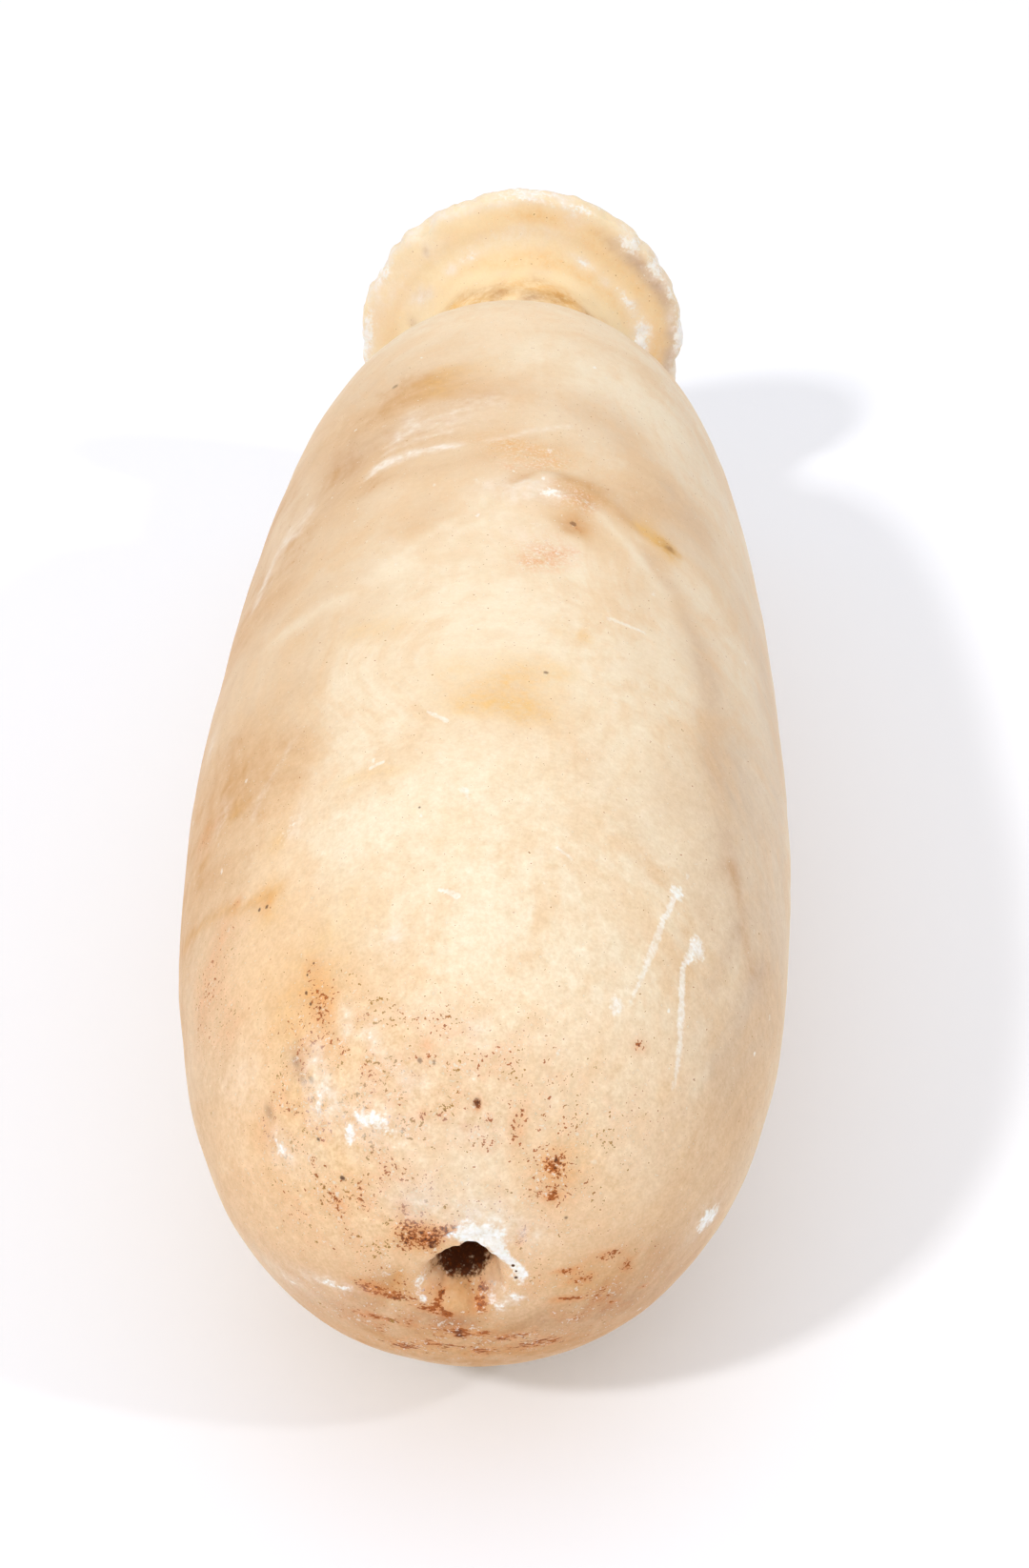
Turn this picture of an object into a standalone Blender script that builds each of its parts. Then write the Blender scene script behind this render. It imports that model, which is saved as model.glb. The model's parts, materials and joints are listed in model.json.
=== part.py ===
"""An alabaster alabastron: a hollow flask for scented oil, carved from one piece of stone.

The flask lies on its side, as it can't stand on its rounded base. Its axis runs along Y:
the base, with the hole worn through it, faces -Y, and the disc rim round the mouth faces +Y.
It rests on a small flat spot on the underside of its belly. The origin is on the surface it
lies on, under the middle of its length. Lengths are in metres.
"""
from math import cos, pi, radians, sin

import bmesh
import bpy

# Body, measured along the axis from the base
LENGTH = 0.1825
BODY_RADIUS = 0.032
BELLY_FROM_BASE = 0.069
BASE_ROUNDNESS = 2.9
TAPER_SPREAD = 1.45
TAPER_FULLNESS = 5.9

# Neck and disc rim
NECK_LENGTH = 0.0265
NECK_RADIUS = 0.0132
NECK_FILLET = 0.003
RIM_RADIUS = 0.0212
RIM_EDGE = 0.0035
RIM_EDGE_ROUNDING = 0.0006
RIM_FILLET = 0.0048
RIM_UNDERSIDE_RISE = 0.0012

# Hollow
WALL = 0.0085
BASE_WALL = 0.012
SHOULDER_WALL = 0.009
MOUTH_RADIUS = 0.007
MOUTH_LIP = 0.0012

# Worn lug, turned from the top of the belly towards +X
LUG_FROM_BASE = 0.088
LUG_TURN = radians(14)
LUG_HEIGHT = 0.0012
LUG_LENGTH = 0.011
LUG_WIDTH = 0.017
LUG_DEPTH = 0.006

# Hole through the base: a broken funnel outside, a narrow bore inside
HOLE_RADIUS = 0.0024
FUNNEL_WIDTH = 0.0070
FUNNEL_HEIGHT = 0.0086
FUNNEL_DROP = 0.0020
FUNNEL_DEPTH = 0.0050
FUNNEL_RAGGEDNESS = 0.06

# Chips out of the rim's edge: turn from the top, half width and depth
CHIP_TURNS = (radians(-62), radians(-38), radians(-21), radians(58), radians(97), radians(171))
CHIP_HALF_WIDTH = radians(11)
CHIP_DEPTHS = (0.0007, 0.0010, 0.0006, 0.0005, 0.0008, 0.0007)

# Flat spot that the flask lies on
FLAT_DEPTH = 0.0007

# Facets
SEGMENTS = 64
BASE_STEPS = 10
TAPER_STEPS = 13
CAVITY_BASE_STEPS = 7
CAVITY_TAPER_STEPS = 9
FILLET_STEPS = 3
ROUNDING_STEPS = 2
PAST = 0.004

AXIS_HEIGHT = BODY_RADIUS - FLAT_DEPTH
SHOULDER_END = LENGTH - NECK_LENGTH
CAVITY_RADIUS = BODY_RADIUS - WALL
CAVITY_END = SHOULDER_END - SHOULDER_WALL
STONE_COLOUR = (0.83, 0.66, 0.46, 1.0)


def remove_everything():
    """Start from an empty scene."""
    for thing in list(bpy.data.objects):
        bpy.data.objects.remove(thing, do_unlink=True)


def rounded_end(radius, start, widest, power, steps):
    """Points (radius, distance) of a closed round end, from the axis to the widest place."""
    depth = widest - start
    turns = [0.5 * pi * step / steps for step in range(steps + 1)]
    return [(radius * sin(turn) ** (2 / power), widest - depth * cos(turn) ** (2 / power))
            for turn in turns[:-1]] + [(radius, widest)]


def tapered_radius(radius, neck, share):
    """The radius at a share of the way from the belly, at 0, to the neck, at 1."""
    belly_power = radius ** TAPER_FULLNESS
    neck_power = neck ** TAPER_FULLNESS
    left = 1 - share ** TAPER_SPREAD
    return (neck_power + (belly_power - neck_power) * left) ** (1 / TAPER_FULLNESS)


def body_radius_at(distance):
    """The outside radius of the body at a distance from the base."""
    if distance > BELLY_FROM_BASE:
        share = (distance - BELLY_FROM_BASE) / (SHOULDER_END - BELLY_FROM_BASE)
        return tapered_radius(BODY_RADIUS, NECK_RADIUS, share)
    share = 1 - distance / BELLY_FROM_BASE
    return BODY_RADIUS * (1 - share ** BASE_ROUNDNESS) ** (1 / BASE_ROUNDNESS)


def taper(radius, neck, start, end, fillet, steps):
    """Points from past the belly in to the neck, with a fillet in the corner."""
    curve = []
    for step in range(1, steps):
        share = sin(0.5 * pi * step / steps)
        curve.append((tapered_radius(radius, neck, share), start + (end - start) * share))
    curve = [point for point in curve if point[0] > neck + fillet]
    return curve + quarter_arc((neck + fillet, end + fillet), fillet, 1.5 * pi, pi, FILLET_STEPS)


def quarter_arc(centre, radius, first_turn, last_turn, steps):
    """Points on an arc about centre, both ends included."""
    turns = [first_turn + (last_turn - first_turn) * step / steps for step in range(steps + 1)]
    return [(centre[0] + radius * cos(turn), centre[1] + radius * sin(turn)) for turn in turns]


def outer_outline():
    """The flask's outside, from the middle of the base to the middle of the rim's face."""
    underside = LENGTH - RIM_EDGE
    fillet_top = underside - RIM_UNDERSIDE_RISE
    rounding = RIM_EDGE_ROUNDING
    edge_middle = RIM_RADIUS - rounding
    outline = rounded_end(BODY_RADIUS, 0, BELLY_FROM_BASE, BASE_ROUNDNESS, BASE_STEPS)
    outline += taper(BODY_RADIUS, NECK_RADIUS, BELLY_FROM_BASE, SHOULDER_END, NECK_FILLET,
                     TAPER_STEPS)
    fillet_centre = (NECK_RADIUS + RIM_FILLET, fillet_top - RIM_FILLET)
    outline += quarter_arc(fillet_centre, RIM_FILLET, pi, pi / 2, FILLET_STEPS)
    outline += quarter_arc((edge_middle, underside + rounding), rounding, -pi / 2, 0, ROUNDING_STEPS)
    outline += quarter_arc((edge_middle, LENGTH - rounding), rounding, 0, pi / 2, ROUNDING_STEPS)
    return outline + [(0, LENGTH)]


def cavity_outline():
    """The hollow, from the middle of its floor to a point past the mouth."""
    lip_centre = (MOUTH_RADIUS + MOUTH_LIP, LENGTH - MOUTH_LIP)
    outline = rounded_end(CAVITY_RADIUS, BASE_WALL, BELLY_FROM_BASE, BASE_ROUNDNESS,
                          CAVITY_BASE_STEPS)
    outline += taper(CAVITY_RADIUS, MOUTH_RADIUS, BELLY_FROM_BASE, CAVITY_END, NECK_FILLET,
                     CAVITY_TAPER_STEPS)
    outline += quarter_arc(lip_centre, MOUTH_LIP, pi, pi / 2, ROUNDING_STEPS)
    return outline + [(lip_centre[0], LENGTH + PAST), (0, LENGTH + PAST)]


def place(radius, turn, distance):
    """A point at a radius from the axis, a turn from the top and a distance from the base."""
    return (radius * sin(turn), distance - LENGTH / 2, AXIS_HEIGHT + radius * cos(turn))


def chipped(radius, turn, distance):
    """The radius, less where a chip is out of the rim's edge."""
    if distance < LENGTH - RIM_EDGE or radius < RIM_RADIUS - RIM_EDGE_ROUNDING:
        return radius
    for chip_turn, depth in zip(CHIP_TURNS, CHIP_DEPTHS):
        offset = (turn - chip_turn + pi) % (2 * pi) - pi
        if abs(offset) < CHIP_HALF_WIDTH:
            radius -= depth * cos(0.5 * pi * offset / CHIP_HALF_WIDTH) ** 2
    return radius


def solid_of_rings(name, rings, first_point, last_point):
    """A closed solid skinned over rings of points, with a point at each end."""
    mesh = bmesh.new()
    loops = [[mesh.verts.new(point) for point in ring] for ring in rings]
    ends = mesh.verts.new(first_point), mesh.verts.new(last_point)
    count = len(loops[0])
    for index in range(count):
        following = (index + 1) % count
        mesh.faces.new((ends[0], loops[0][index], loops[0][following]))
        mesh.faces.new((ends[1], loops[-1][following], loops[-1][index]))
        for lower, upper in zip(loops, loops[1:]):
            mesh.faces.new((lower[index], upper[index], upper[following], lower[following]))
    bmesh.ops.recalc_face_normals(mesh, faces=mesh.faces)
    data = bpy.data.meshes.new(name)
    mesh.to_mesh(data)
    mesh.free()
    data.shade_smooth()
    data.set_sharp_from_angle(angle=radians(40))
    thing = bpy.data.objects.new(name, data)
    bpy.context.scene.collection.objects.link(thing)
    return thing


def turned_solid(name, outline, radius_rule=None):
    """A solid turned from an outline that starts and ends on the axis."""
    rings = []
    for radius, distance in outline[1:-1]:
        turns = [2 * pi * step / SEGMENTS for step in range(SEGMENTS)]
        rings.append([place(radius_rule(radius, turn, distance) if radius_rule else radius,
                            turn, distance) for turn in turns])
    return solid_of_rings(name, rings, place(0, 0, outline[0][1]), place(0, 0, outline[-1][1]))


def base_hole():
    """The hole through the base: a ragged funnel that narrows to a bore into the hollow."""
    bore = 2 * HOLE_RADIUS
    past_floor = BASE_WALL + PAST
    stages = ((-PAST, FUNNEL_WIDTH, FUNNEL_HEIGHT, FUNNEL_DROP),
              (0, FUNNEL_WIDTH, FUNNEL_HEIGHT, FUNNEL_DROP),
              (FUNNEL_DEPTH, bore, bore, 0),
              (past_floor, bore, bore, 0))
    sides = SEGMENTS // 2
    rings = []
    for distance, width, height, drop in stages:
        ring = []
        for step in range(sides):
            turn = 2 * pi * step / sides
            ragged = 1 + FUNNEL_RAGGEDNESS * (sin(3 * turn + 0.6) + 0.5 * sin(7 * turn))
            ring.append((width / 2 * ragged * sin(turn), distance - LENGTH / 2,
                         AXIS_HEIGHT - drop + height / 2 * ragged * cos(turn)))
        rings.append(ring)
    return solid_of_rings("base_hole_cutter", rings, place(0, 0, -PAST), place(0, 0, past_floor))


def lug():
    """The worn-down lug: a low oval boss on the upper side of the belly."""
    mesh = bmesh.new()
    bmesh.ops.create_uvsphere(mesh, u_segments=24, v_segments=12, radius=1)
    data = bpy.data.meshes.new("lug_boss")
    mesh.to_mesh(data)
    mesh.free()
    boss = bpy.data.objects.new("lug_boss", data)
    bpy.context.scene.collection.objects.link(boss)
    top = body_radius_at(LUG_FROM_BASE) + LUG_HEIGHT
    boss.location = place(top - LUG_DEPTH, LUG_TURN, LUG_FROM_BASE)
    boss.rotation_euler = (0, LUG_TURN, 0)
    boss.scale = (LUG_WIDTH / 2, LUG_LENGTH / 2, LUG_DEPTH)
    return boss


def flat_block():
    """The block that takes the flat spot off the underside."""
    half = BODY_RADIUS
    corners = [(-half, -half), (half, -half), (half, half), (-half, half)]
    middle = BELLY_FROM_BASE - LENGTH / 2
    rings = [[(x, middle + y, z) for x, y in corners] for z in (-2 * PAST, 0)]
    return solid_of_rings("flat_cutter", rings, (0, middle, -2 * PAST), (0, middle, 0))


def combine(target, other, operation):
    """Cut or join another solid, which then stays as a hidden guide."""
    other.hide_render = True
    other.display_type = "WIRE"
    modifier = target.modifiers.new(other.name, "BOOLEAN")
    modifier.operation = operation
    modifier.object = other


def stone():
    """Cream alabaster, worn to a satin skin."""
    material = bpy.data.materials.new("alabaster")
    material.use_nodes = True
    shader = material.node_tree.nodes["Principled BSDF"]
    shader.inputs["Base Color"].default_value = STONE_COLOUR
    shader.inputs["Roughness"].default_value = 0.42
    shader.inputs["Metallic"].default_value = 0.0
    return material


def build_alabastron():
    """The one carved piece."""
    flask = turned_solid("alabastron", outer_outline(), chipped)
    flask.data.materials.append(stone())
    combine(flask, lug(), "UNION")
    combine(flask, turned_solid("hollow_cutter", cavity_outline()), "DIFFERENCE")
    combine(flask, base_hole(), "DIFFERENCE")
    combine(flask, flat_block(), "DIFFERENCE")


remove_everything()
build_alabastron()
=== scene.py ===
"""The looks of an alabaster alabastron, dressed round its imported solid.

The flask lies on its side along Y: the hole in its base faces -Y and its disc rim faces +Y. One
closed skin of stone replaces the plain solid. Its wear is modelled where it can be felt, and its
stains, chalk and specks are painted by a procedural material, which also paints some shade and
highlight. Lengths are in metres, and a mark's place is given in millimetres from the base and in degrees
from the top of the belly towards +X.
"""

import json
from functools import reduce
from math import asin, cos, pi, radians, sin, tau

import bpy
import numpy as np
from bpy.props import FloatProperty, FloatVectorProperty, IntProperty, PointerProperty
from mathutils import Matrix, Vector

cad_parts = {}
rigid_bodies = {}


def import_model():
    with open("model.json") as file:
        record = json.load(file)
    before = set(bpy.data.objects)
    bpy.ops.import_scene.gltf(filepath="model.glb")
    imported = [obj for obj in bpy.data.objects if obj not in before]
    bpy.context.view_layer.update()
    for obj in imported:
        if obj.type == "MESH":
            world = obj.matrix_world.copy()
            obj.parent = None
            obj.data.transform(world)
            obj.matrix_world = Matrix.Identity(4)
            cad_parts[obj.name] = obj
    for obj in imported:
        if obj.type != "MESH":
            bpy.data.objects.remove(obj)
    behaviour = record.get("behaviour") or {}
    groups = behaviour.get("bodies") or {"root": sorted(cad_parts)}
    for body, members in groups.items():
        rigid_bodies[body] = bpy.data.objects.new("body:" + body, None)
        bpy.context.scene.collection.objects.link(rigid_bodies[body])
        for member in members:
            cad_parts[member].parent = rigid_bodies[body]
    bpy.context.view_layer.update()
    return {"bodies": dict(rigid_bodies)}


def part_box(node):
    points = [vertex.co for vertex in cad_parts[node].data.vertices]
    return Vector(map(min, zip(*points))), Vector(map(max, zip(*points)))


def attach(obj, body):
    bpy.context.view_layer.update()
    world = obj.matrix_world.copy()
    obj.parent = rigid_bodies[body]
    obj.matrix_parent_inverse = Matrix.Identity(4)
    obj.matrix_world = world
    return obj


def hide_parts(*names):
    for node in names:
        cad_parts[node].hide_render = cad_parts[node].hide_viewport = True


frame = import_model()
LOW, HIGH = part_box("alabastron")
BODY = next(iter(frame["bodies"]))

bl_info = {
    "name": "Alabaster alabastron",
    "version": (1, 0, 0),
    "blender": (4, 5, 0),
    "location": "View3D > Sidebar > Alabastron",
    "description": "Dresses a carved alabaster flask in worn, stained stone, on a plain stage",
    "category": "Object",
}

MM = 0.001

# How full the round base is, and how the body tapers: how late, and how full it stays
BASE_ROUNDNESS = 2.9
TAPER_SPREAD = 1.45
TAPER_FULLNESS = 5.9

# How many points draw an outline and an arc, how many places rings are spaced by, and how many sine
# waves add up to one smooth noise
OUTLINE_POINTS = 600
ARC_POINTS = 24
SPACING_POINTS = 6000
WAVE_COUNT = 22

# How much closer the skin's columns lie at the top, the rings of the bore and of the funnel, how the
# funnel flares, how much wider than the bore the hollow's floor begins, and how long the lip is worn
TOP_CROWDING = 0.35
BORE_RINGS = 6
FUNNEL_RINGS = 16
FUNNEL_FLARE = 0.85
FLOOR_FLARE = 1.15
LIP_ROUNDS = 70

# Gaps between the rings of the outside in mm, and where they are smaller: from and to in mm from the
# base, within which radius, and the gap there. Then the gaps of the hollow, and where its neck begins
OUTSIDE_GAP = 0.85
FINE_GAPS = ((68, 108, 40, 0.62), (160, 200, 40, 0.5), (-1, 14, 24, 0.55), (-1, 14, 12, 0.34))
HOLLOW_GAP = 4.5
NECK_GAP = 2.5
NECK_GAP_FROM = 160

# Places in mm from the base: where the neck's look begins, the line of dirt round the neck, where the
# skin is calmer, and where the stone is no longer as grainy as at the base
NECK_LOOK_FROM = 163
NECK_DIRT = 168.5
CALM_FROM = 84
GRAINY_TO = 12

# Where the hole is painted dark, as shade and dirt: the middle to +X and up from the axis, half width
# and half height, in mm, and how much lower the middle lies for each mm in
HOLE_SHADE_AND_DIRT = (-0.4, -0.3, 2.7, 2.9)
HOLE_SHADE_SLOPE = 0.7

# Broad forms of wear: places as (mm from the base, degrees from the top)
# The valley is carved shallow, and its shade is also painted, in tan
VALLEY = (
    (84, 60), (92, 52), (100, 40), (107, 28), (113, 18), (117, 4), (118, -10), (115, -22), (107, -32),
    (98, -40), (88, -48),
)
# The far side of this crest is also darkened by a tan line in BODY_LINES, as painted shade
LUG_CREST = ((90, 8), (91, 14), (91.5, 20))
LEFT_ARM = ((91, 9), (86, 4), (81, -1), (76, -10), (72.5, -21), (70.5, -31), (71, -45))
RIGHT_ARM = ((86, 21), (83, 26), (80, 31), (75, 36))
# The fold is carved as a low step; a tan and a grey line darken its low side and a pale line lights its
# raised side, as painted shade and light
FOLD = (
    (82, 33), (76, 38), (69, 42), (60, 45), (52.5, 44.5), (48, 47), (43, 50), (38, 53), (33, 59),
    (28, 65),
)
# The crease is carved and also darkened by a tan line, as painted shade
CREASE = ((38, 53), (34.5, 57), (31, 62), (28.5, 66))
BROWN_BAND = ((38, -78), (34, -68), (30.5, -56), (28, -47), (27.5, -41))

# The lug and a dent by it: mm from the base, degrees from the top, half length and half width in mm
LUG = (88, 14, 6.0, 7.4)
LUG_DENT = (85.2, 15, 1.6, 3.0)

# Marks as ovals on the body: mm from the base, degrees from the top, half length, half width, strength
BODY_OVALS = {
    "tan": (
        (58, -84, 80, 13, 0.66), (47, -57, 15, 9, 0.8), (44, -39, 6.5, 5.5, 0.46), (57, -37, 8, 4.5, 0.3),
        # Painted shade: the tan ovals at 105 mm, -37 degrees and at 117 mm, -20 degrees lie on the valley
        # and darken it
        (84, -50, 22, 9, 0.36), (96, -24, 5, 11, 0.2), (105, -37, 8, 7, 0.45), (117, -20, 3.5, 6, 0.85),
        (111, -9, 4.5, 8, 0.5), (103, -19, 5, 8, 0.5), (113, -40, 8, 8, 0.22), (90, -33, 8, 7, 0.25),
        (84, -15, 6, 6, 0.34), (88, -56, 8, 7, 0.28), (72, -30, 8, 8, 0.3), (96, -70, 24, 9, 0.3),
        (14, -50, 8, 7, 0.55), (92, 32, 6, 5, 0.42), (22, -42, 6, 6, 0.3), (31, 46, 8, 5, 0.28),
        (122, -22, 7, 8, 0.4), (112, -64, 8, 8, 0.35), (87, 14, 6, 6.5, 0.42), (82.2, 15, 2.4, 3, 0.6),
        (15, -38, 8, 8, 0.3), (30, 84, 30, 9, 0.26), (12, 88, 10, 12, 0.44), (20, 66, 10, 9, 0.24),
        (99, 5, 5, 9, 0.26), (24, -62, 7, 8, 0.12), (46, 3, 8, 9, 0.2), (64, -20, 5, 5, 0.22),
        (34, -40, 4, 5, 0.24), (126, -42, 14, 8, 0.24), (134, 25, 10, 9, 0.15), (42, -41, 6, 5, 0.3),
        (72, 29, 8, 3.5, 0.22), (42, 37, 7, 4.5, 0.34), (58, 29, 6, 3.4, 0.2), (92, -5, 6, 7, 0.22),
        (104, 0, 10, 12, 0.22), (131, 0, 10, 14, 0.2),
    ),
    "peach": ((19, -46, 11, 8, 0.7), (9, -58, 7, 7, 0.5), (34, -40, 9, 5, 0.4), (139, 0, 10, 14, 0.4)),
    "ochre": (
        (46.3, 1.5, 3.4, 5, 0.6), (45.6, 8, 3, 3, 0.5), (50.5, 5, 4.5, 6.5, 0.34),
        (53.2, 12, 2.4, 2.8, 0.36), (62.5, -19, 2.6, 3, 0.34), (60.7, 18, 0.8, 0.8, 0.7),
        (59.4, 18, 0.7, 0.7, 0.6), (60, 13.5, 0.9, 0.9, 0.4), (54.5, -6, 2, 2.4, 0.32),
        (98.3, 6, 2.8, 4.2, 0.4), (94.6, 9.5, 2, 2.2, 0.35), (88.6, 15, 2.6, 3.2, 0.35),
        (82.2, 15, 2, 2.4, 0.3), (87.8, 33.4, 2.2, 1.7, 0.45), (86.6, 36, 1.9, 1.5, 1),
        (86.2, 37.2, 1.2, 0.9, 0.8), (14.5, -36, 6, 4.8, 0.36), (20, -27, 3.5, 3, 0.25),
        (12, -42, 3, 3, 0.2), (116.5, -18, 2.8, 3.2, 0.42), (120.5, -9, 2.4, 4, 0.3),
        (37.5, -18, 1.2, 4.5, 0.32), (28.5, -5, 3, 2.4, 0.3), (36, 6, 1.6, 4, 0.22), (77, 3, 2.4, 3, 0.2),
        (73, 9, 2.4, 2.4, 0.2), (34.5, -41, 2, 2, 0.35), (44, -56, 2.6, 2.4, 0.15),
        (27, -45.5, 2, 2, 0.5),
    ),
    "umber_and_shade": ((88.4, 14, 2.2, 3.4, 0.22), (82.2, 15, 1.3, 1.6, 0.3), (86.4, 36.6, 1.2, 1, 0.4)),
    "grey": (
        (122, 56, 20, 7, 0.22), (78, 70, 30, 7, 0.42), (36, 70, 22, 6, 0.34), (50, 54, 14, 5.5, 0.46),
        (105, -33, 6, 4, 0.26), (96, 43, 12, 5, 0.3), (110, 24, 7, 5, 0.26), (68, 44, 8, 4, 0.3),
    ),
    "pale": (
        (33, 0, 9, 10, 0.8), (66, -2, 10, 9, 0.55), (80, 4, 4, 5, 0.5), (57, 24, 8, 4.5, 0.4),
        (42, 26, 8, 4, 0.34), (142, 0, 10, 14, 0.3), (75, -2, 4, 4, 0.4), (108, 60, 12, 7, 0.45),
        (123, 16, 9, 9, 0.55), (29, -18, 6, 5, 0.5), (40, -2, 6, 6, 0.4), (21, 27, 6, 5, 0.4),
        (29.5, 3.5, 5, 6, 0.26), (20.8, -12, 4, 6, 0.32), (16.4, -19, 4, 5, 0.26), (17.6, 29, 5, 5, 0.4),
    ),
    "sugar": (
        (87.4, 15, 2.4, 3.2, 0.6), (98.2, 6, 2.6, 4.2, 0.42), (94.6, 8, 1.8, 2.4, 0.4),
        (76, 11, 2.4, 2.4, 0.8), (73, 8, 2.2, 2, 0.7), (93.6, 3, 1, 1.8, 0.5),
    ),
    "chalk": (
        (87.7, 9.3, 0.9, 1.2, 1), (20.6, -5, 0.5, 0.9, 0.6), (34.7, -38, 0.8, 0.8, 0.6),
        (35.6, -36.6, 0.6, 0.6, 0.5), (98.8, 10, 0.7, 0.9, 0.5), (94.8, 11, 0.6, 0.8, 0.5),
        (90.3, -3.5, 0.6, 0.8, 0.5), (80.6, 9, 0.6, 0.8, 0.4), (76.8, 9, 0.7, 1, 0.4),
        (74.4, 7, 0.7, 0.9, 0.36), (86, -52, 1.4, 0.7, 0.4),
    ),
    "dust": (
        (94.6, -49.5, 2, 2, 0.6), (98.2, -45.5, 2.2, 1.8, 0.5), (107, -22, 3.5, 1.4, 0.5),
        (104.5, -14, 2.5, 5, 0.35), (109.5, -4, 2, 4, 0.35), (16.4, -15, 1.4, 1.6, 0.5),
        (111, -14, 1.6, 4, 0.3), (34.8, -35, 2.2, 1.2, 0.4), (46, -58, 2.5, 1.2, 0.4),
        (78, 6, 2.5, 3, 0.3), (64, -66, 3, 1.5, 0.4), (89, 4, 1.4, 3, 0.5), (87, 8, 1.8, 2.2, 0.6),
    ),
    "rust": (
        (23.5, -64, 4, 4, 0.3), (19, -60, 2.5, 3, 0.26), (46.5, -63, 1.8, 1.6, 0.3),
        (30.8, -53, 0.7, 0.8, 0.4), (14.2, -37, 4, 3.4, 0.22), (16.4, -34, 1.4, 1.4, 0.28),
        (82.4, 15.4, 1.2, 1.4, 0.3), (11.8, 43, 0.8, 0.8, 0.6), (27, -45.5, 1.2, 1.4, 0.35),
        (28, -60, 3, 4, 0.25),
    ),
    "specks": ((13, -37, 5, 5, 0.35), (23, -64, 7, 6, 0.6), (9, -20, 5, 9, 0.35), (9, 22, 4, 8, 0.3)),
}

# Marks along lines on the body: their places, half width in mm and strength
BODY_LINES = {
    # Painted shadow: the tan line from 104 mm, -40 degrees to 96 mm, -4 degrees darkens the stone under
    # the scratch beside it
    "tan": ((BROWN_BAND, 0.9, 0.8), (((104, -40), (95, -28), (94, -12), (96, -4)), 1.8, 0.2),
            # Painted shade: the tan lines along VALLEY, along the lug's crest and along CREASE darken
            # them
            (VALLEY, 5.0, 0.24), (((90.8, 4), (91.2, 12), (91, 20)), 1.7, 0.6), (CREASE, 0.7, 0.7),
            # Painted shade: the tan along FOLD darkens the fold's low side
            (FOLD, 2.6, 0.3), (((90, 18), (88.4, 26), (87, 33)), 1.1, 0.45),
            (((40, 20), (34, 27), (28, 36)), 2.0, 0.2)),
    # Painted shade: the grey along FOLD darkens the fold's low side
    "grey": ((FOLD, 2.0, 0.12),
             (((16, 64), (24, 66), (33, 70)), 1.2, 0.35), (((22, 54), (28, 57), (35, 60)), 1.0, 0.3)),
    "pale": ((LEFT_ARM, 1.5, 0.5), (RIGHT_ARM, 1.0, 0.7), (((87, -2), (80, -10), (75, -20)), 1.2, 0.5),
             # Painted light: this pale line lights the raised side of the fold
             (((80, 30), (70, 38), (62, 41)), 1.2, 0.25),
             (((12, 62), (20, 64), (28, 68)), 0.9, 0.5), (((14, 56), (21, 58), (29, 61)), 0.8, 0.4)),
    "dust": ((((98.2, -28), (98.4, -22), (98.8, -16), (99.4, -10)), 0.8, 1.0),
             (((99.8, -4), (101.0, 2), (102.8, 8), (105.0, 14)), 0.5, 0.5),
             (((97, -50), (91, -56), (87, -58)), 0.9, 0.55),
             (((40, -46), (44, -42), (48, -38)), 0.6, 0.3),
             (((103, -24), (106, -18), (108, -8)), 0.5, 0.5),
             (((100.5, -26), (102, -18), (103, -12)), 0.5, 0.4)),
    "ochre": ((((38, -24), (36.5, -16)), 0.8, 0.3), (BROWN_BAND, 0.6, 0.2)),
}

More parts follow.
